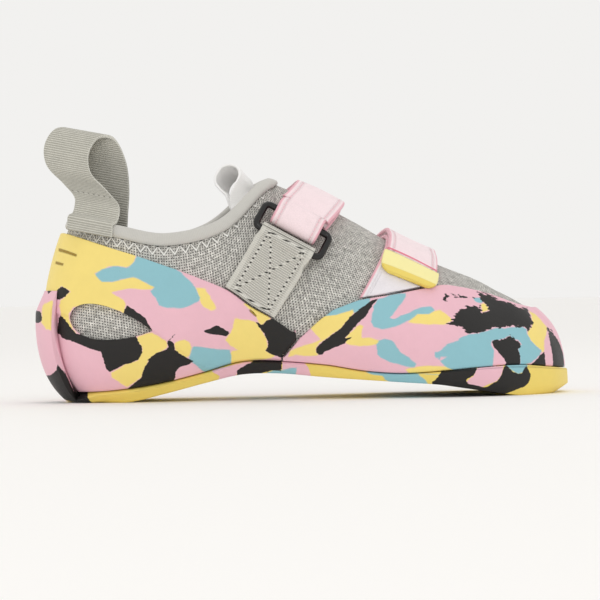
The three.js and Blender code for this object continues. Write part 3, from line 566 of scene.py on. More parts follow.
def heel_strip():
    """Strip of sole rubber up the heel's back"""
    ribs = ribs_between(-STRIP_RIB, STRIP_RIB, 0.05)
    low = 0 * ribs + 0.03
    high = crossing(ribs, lambda x: STRIP_TOP + 0 * x)

    def face(share):
        rise = (STRIP_TOP - wall(ribs[:, None] + 0 * share, share)[..., 2]) / STRIP_TAPER
        return ON_RAND + np.clip(STRIP_WALL * rise, FIT, STRIP_WALL)

    piece = shell(
        "heel_strip", ribs, low, high, ON_RAND + STRIP_WALL, ON_RAND,
        rows=60, corner=0.3, seam=face, lowest=2 * FIT)
    return piece


def footbed():
    ribs = np.linspace(-TOE_RIB, TOE_RIB, 281)[:-1]
    inset = feather(ribs) - outward(ribs) * (UPPER_WALL + FIT)
    top = inset + [0, 0, 2.0]
    columns = [inset, inset + [0, 0, 1.4], top - outward(ribs) * 0.6]
    for inward in (0.2, 0.4, 0.6, 0.8, 1.0):
        middle = top.copy()
        middle[:, 1] += (top[np.arange(len(ribs)) * -1, 1] - top[:, 1]) * inward / 2
        columns.append(middle)
    rows = np.stack(columns, axis=1)
    piece = sweep("footbed", rows, rows[..., :2], turn_rows=True, turn_columns=False, flip=True)
    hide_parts("insole")
    return piece


def wall_tree():
    ribs = np.linspace(-TOE_RIB, TOE_RIB, 281)
    at, share = np.meshgrid(ribs, np.linspace(0, 1, 60), indexing="ij")
    points = wall(at, share)
    r, c = points.shape[:2]
    index = np.arange(r * c).reshape(r, c)
    quads = np.stack([index[:-1, :-1], index[1:, :-1], index[1:, 1:], index[:-1, 1:]], -1)
    return BVHTree.FromPolygons(points.reshape(-1, 3).tolist(), quads.reshape(-1, 4).tolist())


WALL_TREE = wall_tree()


def last_hit(start, aim):
    """Farthest point where a line from inside the foot meets the upper"""
    found, at = None, Vector(start)
    aim = Vector(aim).normalized()
    for _ in range(6):
        hit, _, _, _ = WALL_TREE.ray_cast(at, aim)
        if hit is None:
            break
        found, at = hit, hit + aim * 0.05
    return np.array(found)


# Straps lie in planes that lean forward; "at" and "high" give a point inside the foot
INSTEP_PLANE = (math.radians(45.5), 0.438, 0.682)
WEBBING_PLANE = (math.radians(34), 0.4284, 0.602)
FOREFOOT_PLANE = (math.radians(32), 0.635, 0.407)
FOREFOOT_OVER = (math.radians(23.5), 0.656, 0.426)


def plane_axes(plane):
    lean, at, high = plane
    up = np.array([math.sin(lean), 0, math.cos(lean)])
    across = np.array([math.cos(lean), 0, -math.sin(lean)])
    return up, across, np.array([at * LENGTH, 0, high * INSTEP])


def mix_planes(a, b, share):
    return tuple(x + (y - x) * share for x, y in zip(a, b))


def on_foot(plane, w, turn):
    """Point and normal of the upper, w across the strap and turned round the foot"""
    up, across, centre = plane_axes(plane)
    cast = lambda dw, dt: last_hit(
        centre + across * (w + dw),
        up * math.cos(turn + dt) + np.array([0, math.sin(turn + dt), 0]),
    )
    point = cast(0, 0)
    normal = np.cross(cast(0.8, 0) - cast(-0.8, 0), cast(0, 0.03) - cast(0, -0.03))
    normal = normal / np.linalg.norm(normal)
    if normal @ (up * math.cos(turn) + np.array([0, math.sin(turn), 0])) < 0:
        normal = -normal
    return point, normal


def turn_at_edge(plane, w, side):
    high, low = 0.0, side * math.radians(150)
    up, across, centre = plane_axes(plane)
    for _ in range(18):
        turn = (low + high) / 2
        point = last_hit(centre + across * w, up * math.cos(turn) + np.array([0, math.sin(turn), 0]))
        if point[2] > max(float(heel_line(point[0])), float(toe_line(point[0]))) + 3 * FIT:
            high = turn
        else:
            low = turn
    return high


def ring_frame(plane, turn):
    reach = 0.36 * RING_LONG
    spots = [on_foot(plane, share * reach, turn + side * math.radians(9))
             for share in (-1, -0.5, 0, 0.5, 1) for side in (-1, 0, 1)]
    centre = spots[7][0].copy()
    long = unit(spots[13][0] - spots[1][0])
    normal = sum(spot[1] for spot in spots)
    normal = unit(normal - long * (long @ normal))
    short = unit(np.cross(normal, long))
    short = -short if short[2] < 0 else short
    bulge = max((point - centre) @ normal for point, _ in spots)
    centre = centre + normal * (bulge + LIFT + STRAP_THICK + FIT + RING_WIRE / 2)
    return centre, long, short, normal


INSTEP_RING = ring_frame(WEBBING_PLANE, math.radians(-55))
FOREFOOT_RING = ring_frame(FOREFOOT_PLANE, math.radians(60))


def bar_centre(ring, which):
    return ring[0] + ring[2] * which * (RING_SHORT - RING_WIRE) / 2


def turn_of(plane, point):
    up, _, centre = plane_axes(plane)
    arm = point - centre
    return math.atan2(arm[1], arm @ up)


def folded_band(name, plane, width, thick, ring, bar, start, end, over=None, slack=0.0, puff=0.0):
    """Strap from "start" round a ring's bar and back over itself to "end" """
    over = over or plane
    fold = bar_centre(ring, bar) - ring[2] * bar * slack
    opening = RING_WIRE / 2 + FIT
    past = bar_centre(ring, bar) + ring[2] * bar * (opening + thick)
    leave = turn_of(plane, past)
    near = leave + math.copysign(math.radians(4), start(0) - leave)
    back = ring[2] * -bar
    places = np.linspace(-width / 2, width / 2, 7)
    lower, upper_layer, bend = [], [], []
    steps = lambda a, b: max(int(abs(a - b) / math.radians(3.5)), 3)
    for share in np.linspace(0, 1, steps(start(0), near) + 1):
        row = []
        for w in places:
            turn = start(w) + (near - start(w)) * share
            point, normal = on_foot(plane, w, turn)
            row.append((point + normal * (LIFT + thick / 2), normal * -1))
        lower.append(row)
    for share in (-0.5, *np.linspace(0, 1, 9), 1.5):
        angle = min(max(share, 0), 1) * math.pi
        aim = ring[3] * -math.cos(angle) + back * math.sin(angle)
        line = past if share in (-0.5, 1.5) else fold
        bend.append([(line + ring[1] * w + aim * (opening + thick / 2), aim) for w in places])
    for share in np.linspace(0, 1, steps(end(0), near) + 1):
        gap = 2 * opening + (FIT - 2 * opening) * min(share * 2, 1)
        row = []
        for w in places:
            turn = near + (end(w) - near) * share
            point, normal = on_foot(mix_planes(plane, over, min(share * 1.6, 1)), w, turn)
            row.append((point + normal * (LIFT + 1.5 * thick + gap), normal))
        upper_layer.append(row)
    rows = lower + bend + upper_layer
    centre = np.array([[p for p, _ in row] for row in rows])
    normal = np.array([[n for _, n in row] for row in rows])
    return cloth_band(name, centre, normal, width, thick, puff)


def spline(knots, values, places):
    """Catmull-Rom values at places along knots"""
    i = np.clip(np.searchsorted(knots, places, side="right") - 1, 0, len(knots) - 2)
    get = lambda k: values[np.clip(i + k, 0, len(knots) - 1)]
    f = (places - knots[i]) / (knots[i + 1] - knots[i])
    f = f.reshape(-1, *([1] * (values.ndim - 1)))
    return cubic(get(-1), get(0), get(1), get(2), f)


def cloth_band(name, centre, normal, width, thick, puff=0.0, step=1.0, across_steps=13):
    """Band of cloth along rows of centre points, with rounded edges"""
    length = run_along(centre[:, centre.shape[1] // 2])
    count = max(int(length[-1] / step), 8)
    places = np.linspace(0, length[-1], count)
    centre, normal = spline(length, centre, places), unit(spline(length, normal, places))
    across, half = rounded(width, thick, across_steps)
    known = np.linspace(-width / 2, width / 2, centre.shape[1])
    rows_centre = np.stack([spline(known, row, across) for row in centre])
    rows_normal = unit(np.stack([spline(known, row, across) for row in normal]))
    bulge = half * (1 + puff * (1 - (2 * across / width) ** 2))
    outside = rows_centre + rows_normal * bulge[None, :, None]
    inside = rows_centre - rows_normal * half[None, :, None]
    section = np.concatenate([outside, inside[:, ::-1]], axis=1)
    uv = np.stack([np.broadcast_to(across, (count, len(across))),
                   np.broadcast_to(places[:, None], (count, len(across)))], -1)
    uv = np.concatenate([uv, uv[:, ::-1]], axis=1)
    return sweep(name, section, uv)


def ring_wire(name, node, ring):
    centre, long, short, normal = ring
    half_long = (RING_LONG - RING_WIRE) / 2 - RING_CORNER
    half_short = (RING_SHORT - RING_WIRE) / 2 - RING_CORNER
    rows = []
    for i, (a, b) in enumerate(((1, 1), (-1, 1), (-1, -1), (1, -1))):
        for degrees in np.linspace(0, 90, 9):
            angle = math.radians(i * 90 + degrees)
            away = long * math.cos(angle) + short * math.sin(angle)
            point = centre + long * a * half_long + short * b * half_short + away * RING_CORNER
            turns = np.linspace(0, 2 * math.pi, 17)[:-1, None]
            rows.append(point + (away * np.cos(turns) + normal * np.sin(turns)) * RING_WIRE / 2)
    rows = np.array(rows)
    piece = sweep(name, rows, rows[..., :2], turn_rows=True)
    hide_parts(node)
    return piece


def pull_tab(name, node, plane, strap_width, start, side):
    """Rubber tab that carries on from a strap's end, with round corners"""
    width = strap_width + 2 * TAB_EXTRA
    begin = start + side * math.radians(1.2)
    known = np.linspace(-0.5, 0.5, 7)
    centre, normal = [], []
    for share in np.linspace(0, 1, 15):
        turn = begin + side * math.radians(20) * share
        narrow = math.sqrt(1 - 0.55 * share ** 6)
        spots = [on_foot(plane, w * width * narrow, turn) for w in known]
        height = LIFT + STRAP_THICK + 2 * FIT + TAB_THICK / 2
        centre.append([p + n * height for p, n in spots])
        normal.append([n for _, n in spots])
    piece = cloth_band(name, np.array(centre), np.array(normal), width, TAB_THICK, step=0.5)
    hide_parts(node)
    return piece


def binding():
    """Band folded over the collar's edge"""
    ribs = np.linspace(-FRONT_RIB, FRONT_RIB, 281)[:-1]
    edge = collar_edge(ribs)
    run = unit(collar_edge(ribs + 0.02) - collar_edge(ribs - 0.02))
    out = wall_normal(ribs, 1 + 0 * ribs)
    out = unit(out - run * np.sum(out * run, -1, keepdims=True))
    down = unit(np.cross(out, run))
    drops = np.linspace(0, BINDING_DEPTH, 7)
    pressed = []
    for drop in drops:
        row = []
        for p, o, d in zip(edge, out, down):
            hit, _, _, _ = WALL_TREE.ray_cast(Vector(p + d * max(drop, 0.02) + o * 5), Vector(-o))
            row.append(np.array(hit) if hit is not None else p + d * drop)
        pressed.append(np.array(row))
    cover = BINDING_SEAT + BINDING_WALL
    back = -UPPER_WALL - BINDING_SEAT
    columns = []
    for drop, spot in list(zip(drops, pressed))[::-1]:
        puff = 0.35 * math.sin(math.pi * min(drop / BINDING_DEPTH, 1))
        round_off = 0.5 if drop == drops[-1] else 0
        columns.append(spot + out * (cover + puff - round_off))
    middle, reach = (cover + back - BINDING_WALL) / 2, (cover - back + BINDING_WALL) / 2
    for turn in np.linspace(0, math.pi, 9)[1:-1]:
        columns.append(edge + out * (middle + reach * math.cos(turn)) - down * cover * math.sin(turn))
    for spot in pressed:
        columns.append(spot + out * (back - BINDING_WALL))
    for spot in pressed[::-1]:
        columns.append(spot + out * back)
    columns.append(edge + out * back - down * FIT)
    columns.append(edge + out * BINDING_SEAT - down * FIT)
    for spot in pressed:
        columns.append(spot + out * BINDING_SEAT)
    rows = np.stack(columns, axis=1)
    along = run_along(edge)
    up = run_across(rows)
    uv = flat_map(along, up)
    piece = sweep("collar_band", rows, uv, turn_rows=True, flip=True)
    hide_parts("collar_binding")
    return piece


def path_through(points, count):
    """Even points on a centripetal Catmull-Rom curve"""
    p = np.array(points, float)
    p = np.vstack([2 * p[0] - p[1], p, 2 * p[-1] - p[-2]])
    out = []
    per = 24
    for i in range(1, len(p) - 2):
        a, b, c, d = p[i - 1:i + 3]
        dt = [max(np.linalg.norm(y - x) ** 0.5, 1e-4) for x, y in ((a, b), (b, c), (c, d))]
        m1 = ((b - a) / dt[0] - (c - a) / (dt[0] + dt[1]) + (c - b) / dt[1]) * dt[1]
        m2 = ((c - b) / dt[1] - (d - b) / (dt[1] + dt[2]) + (d - c) / dt[2]) * dt[1]
        f = np.linspace(0, 1, per, endpoint=False)[:, None]
        held = b * (2 * f**3 - 3 * f**2 + 1) + m1 * (f**3 - 2 * f**2 + f)
        out.append(held + c * (3 * f**2 - 2 * f**3) + m2 * (f**3 - f**2))
    out = np.vstack(out + [p[-2][None]])
    # The points are spaced by the curve's own parameter, as in the part's source
    share = np.linspace(0, 1, len(out))
    places = np.linspace(0, 1, count)
    return np.stack([np.interp(places, share, out[:, k]) for k in range(3)], -1)


def ribbon(name, node, path, side, width, thick):
    count = len(path)
    ahead = np.gradient(path, axis=0)
    sides = np.array([side(i / (count - 1)) for i in range(count)])
    out = unit(np.cross(ahead, sides))
    known = np.linspace(-0.5, 0.5, 5)
    centre = path[:, None] + sides[:, None] * known[None, :, None] * width
    normal = np.broadcast_to(out[:, None], centre.shape)
    piece = cloth_band(name, centre, normal, width, thick, step=0.6)
    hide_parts(node)
    return piece


HEEL_LOOP_PATH = [
    [0.000, -0.010, 0.060], [0.030, 0.040, 0.150], [0.030, 0.100, 0.240],
    [-0.090, 0.180, 0.400], [-0.250, 0.240, 0.590], [-0.260, 0.310, 0.800],
    [-0.140, 0.380, 0.965], [0.010, 0.410, 0.955], [0.130, 0.390, 0.720],
    [0.160, 0.350, 0.430], [0.140, 0.310, 0.150], [0.120, 0.270, -0.080],
    [0.100, 0.230, -0.280],
]


def heel_loop():
    q = np.array(-2.2)
    edge, away = collar_edge(q), outward(q)
    along = np.array([-away[1], away[0], 0])
    cover = BINDING_SEAT + BINDING_WALL + 2 * FIT + HEEL_LOOP_THICK
    low = crossing(q, lambda x: heel_line(x) + 10 * FIT)
    points = [skin(q, np.array(t), cover) for t in np.linspace(float(low), 1, 3)]
    points += [edge + np.array(step) * HEEL_LOOP_HIGH for step in HEEL_LOOP_PATH]
    path = path_through(points, 140)
    side = unit(along - np.array([0, 0, 0.2]))
    return ribbon("heel_pull_loop", "heel_loop", path, lambda share: side, HEEL_LOOP_WIDTH, HEEL_LOOP_THICK)


FRONT_LOOP_PATH = [
    [0.000, 0.034], [0.200, 0.034], [0.400, 0.100], [0.580, 0.230], [0.780, 0.260],
    [0.930, 0.160], [0.990, 0.000], [0.930, -0.160], [0.780, -0.260], [0.580, -0.230],
    [0.400, -0.100], [0.200, -0.034], [0.000, -0.034],
]


def front_loop():
    q = -5.75
    inside = UPPER_WALL + BINDING_WALL + 3 * FIT + 1.7 * FRONT_LOOP_THICK
    base = skin(np.array(q), np.array(0.95), -inside)
    reach = unit(np.array([-0.3, 0.6, 0.74]))
    run = collar_edge(np.array(q - 0.1)) - collar_edge(np.array(q + 0.1))
    sewn = unit(run - reach * (run @ reach))
    opened = np.array([0.55, 0.66, -0.52])
    opened = unit(opened - reach * (opened @ reach))

    def side(share):
        turned = float(smoothstep(math.sin(math.pi * share), 0.1, 0.8))
        return unit(sewn + (opened - sewn) * turned)

    last = len(FRONT_LOOP_PATH) - 1
    points = [base + reach * long * FRONT_LOOP_LONG + np.cross(side(i / last), reach) * wide * FRONT_LOOP_LONG
              for i, (long, wide) in enumerate(FRONT_LOOP_PATH)]
    path = path_through(points, 100)
    return ribbon("front_pull_loop", "front_loop", path, side, FRONT_LOOP_WIDTH, FRONT_LOOP_THICK)


FOREFOOT_END = math.radians(-52)
INSTEP_END = math.radians(72)
PIECES = {}
PIECES["upper"] = upper_body()
PIECES["heel_rubber"] = heel_rubber()
PIECES["toe_rubber"] = toe_rubber()
PIECES["sole"] = sole_rubber()
PIECES["strip"] = heel_strip()
PIECES["footbed"] = footbed()
PIECES["binding"] = binding()
PIECES["instep_strap"] = folded_band(
    "instep_strap_cloth", INSTEP_PLANE, INSTEP_STRAP_WIDTH, STRAP_THICK, INSTEP_RING, 1,
    lambda w: turn_at_edge(INSTEP_PLANE, w, 1), lambda w: INSTEP_END, slack=INSTEP_SLACK, puff=0.3)
PIECES["forefoot_strap"] = folded_band(
    "forefoot_strap_cloth", FOREFOOT_PLANE, FOREFOOT_STRAP_WIDTH, STRAP_THICK, FOREFOOT_RING, 1,
    lambda w: turn_at_edge(FOREFOOT_PLANE, w, -1), lambda w: FOREFOOT_END, over=FOREFOOT_OVER, puff=0.3)
PIECES["instep_webbing"] = folded_band(
    "instep_webbing_cloth", WEBBING_PLANE, WEBBING_WIDTH, WEBBING_THICK, INSTEP_RING, -1,
    lambda w: turn_at_edge(WEBBING_PLANE, w, -1), lambda w: turn_at_edge(WEBBING_PLANE, w, -1))
PIECES["forefoot_webbing"] = folded_band(
    "forefoot_webbing_cloth", FOREFOOT_PLANE, WEBBING_WIDTH, WEBBING_THICK, FOREFOOT_RING, -1,
    lambda w: turn_at_edge(FOREFOOT_PLANE, w, 1), lambda w: turn_at_edge(FOREFOOT_PLANE, w, 1))
for key, node, slot in (
    ("instep_strap", "instep_strap", "strap"),
    ("forefoot_strap", "forefoot_strap", "strap"),
    ("instep_webbing", "instep_ring_webbing", "webbing"),
    ("forefoot_webbing", "forefoot_ring_webbing", "webbing"),
):
    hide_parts(node)
PIECES["instep_wire"] = ring_wire("instep_wire", "instep_ring", INSTEP_RING)
PIECES["forefoot_wire"] = ring_wire("forefoot_wire", "forefoot_ring", FOREFOOT_RING)
PIECES["instep_tab"] = pull_tab(
    "instep_tab", "instep_strap_tab", INSTEP_PLANE, INSTEP_STRAP_WIDTH, INSTEP_END, 1)
PIECES["forefoot_tab"] = pull_tab(
    "forefoot_tab", "forefoot_strap_tab", FOREFOOT_OVER, FOREFOOT_STRAP_WIDTH, FOREFOOT_END, -1)
PIECES["heel_loop"] = heel_loop()
PIECES["front_loop"] = front_loop()


# Finishes

def linear(colour):
    """Colour given as a web code, for the shader"""
    parts = [int(colour[i:i + 2], 16) / 255 for i in (0, 2, 4)]
    return tuple(p / 12.92 if p < 0.04045 else ((p + 0.055) / 1.055) ** 2.4 for p in parts) + (1,)


class Value:
    """Socket of a finish: sums on it add maths nodes"""

    def __init__(self, finish, socket):
        self.finish, self.socket = finish, socket

    def output(self, index):
        """Another output of the same node"""
        return Value(self.finish, self.socket.node.outputs[index])

    def maths(self, operation, *others):
        return self.finish.node("ShaderNodeMath", {"operation": operation}, *others)

    def __add__(self, other):
        return self.maths("ADD", self, other)

    __radd__ = __add__

    def __sub__(self, other):
        return self.maths("SUBTRACT", self, other)

    def __rsub__(self, other):
        return self.maths("SUBTRACT", other, self)

    def __mul__(self, other):
        return self.maths("MULTIPLY", self, other)

    __rmul__ = __mul__

    def __truediv__(self, other):
        return self.maths("DIVIDE", self, other)

    def __abs__(self):
        return self.maths("ABSOLUTE", self)

    def part(self):
        """What is left after whole numbers"""
        return self.maths("FRACT", self)

    def sine(self):
        return self.maths("SINE", self)

    def least(self, other):
        return self.maths("MINIMUM", self, other)

    def most(self, other):
        return self.maths("MAXIMUM", self, other)

    def root(self):
        return self.maths("SQRT", self)

    def rise(self, low, high):
        """0 below low and 1 above high, with a soft step between"""
        settings = {"interpolation_type": "SMOOTHSTEP"}
        return self.finish.node("ShaderNodeMapRange", settings, self, low, high)

    def fall(self, low, high):
        return 1 - self.rise(low, high)


class Finish:
    """Material of one kind of piece"""

    def __init__(self, name, roughness=0.8, **constants):
        self.material = bpy.data.materials.new(name)
        self.material.use_nodes = True
        self.tree = self.material.node_tree
        self.shader = self.tree.nodes["Principled BSDF"]
        self.put(self.shader.inputs["Roughness"], roughness)
        for key, value in constants.items():
            self.put(self.shader.inputs[key.replace("_", " ")], value)

    def put(self, socket, value):
        if isinstance(value, Value):
            self.tree.links.new(value.socket, socket)
        else:
            socket.default_value = value

    def node(self, kind, settings=None, *places, output=0, **named):
        node = self.tree.nodes.new(kind)
        for key, value in (settings or {}).items():
            setattr(node, key, value)
        for socket, value in zip(node.inputs, places):
            self.put(socket, value)
        for key, value in named.items():
            self.put(node.inputs[key.replace("_", " ")], value)
        return Value(self, node.outputs[output])

    def cloth(self):
        """Places across and along the cloth, in millimetres"""
        flat = self.node("ShaderNodeUVMap", {"uv_map": "cloth"})
        split = self.node("ShaderNodeSeparateXYZ", None, flat)
        return split, split.output(1)

    def place(self):
        """Place on the piece, in millimetres"""
        place = self.node("ShaderNodeTexCoord", output=3)
        return self.node("ShaderNodeVectorMath", {"operation": "MULTIPLY"}, place, (1000, 1000, 1000))

    def stretched(self, turn, scale):
        """Place turned in the side view and stretched, for brush strokes"""
        where = self.place()
        return self.node("ShaderNodeMapping", None, Vector=where, Rotation=(0, turn, 0), Scale=scale)

    def join(self, x, y, z=0.0):
        return self.node("ShaderNodeCombineXYZ", None, x, y, z)

    def noise(self, scale, where=None, detail=2.0):
        """Uneven value round 0, with a given size of grain in millimetres"""
        where = where or self.place()
        grain = self.node("ShaderNodeTexNoise", None, Vector=where, Scale=1 / scale, Detail=detail)
        return grain - 0.5

    def mix(self, share, a, b):
        node = self.tree.nodes.new("ShaderNodeMix")
        node.data_type = "RGBA"
        for socket, value in ((0, share), (6, a), (7, b)):
            self.put(node.inputs[socket], linear(value) if isinstance(value, str) else value)
        return Value(self, node.outputs[2])

    def shade(self, colour, light):
        """Colour made darker or lighter by a value round 0"""
        grey = self.node("ShaderNodeCombineColor", None, *([1 + light] * 3))
        node = self.tree.nodes.new("ShaderNodeMix")
        node.data_type, node.blend_type = "RGBA", "MULTIPLY"
        for socket, value in ((0, 1.0), (6, colour), (7, grey)):
            self.put(node.inputs[socket], linear(value) if isinstance(value, str) else value)
        return Value(self, node.outputs[2])

    def colour(self, colour):
        self.put(self.shader.inputs["Base Color"], linear(colour) if isinstance(colour, str) else colour)

    def bump(self, height, depth, strength=1.0):
        """Relief from a height in millimetres"""
        node = self.node("ShaderNodeBump", None, Strength=strength, Distance=depth / 1000, Height=height)
        self.put(self.shader.inputs["Normal"], node)

    def wear(self, *pieces):
        for piece in pieces:
            piece.data.materials.append(self.material)


PINK, YELLOW, BLUE, BLACK = "f0bfcc", "f9e182", "90c4cf", "1b1918"


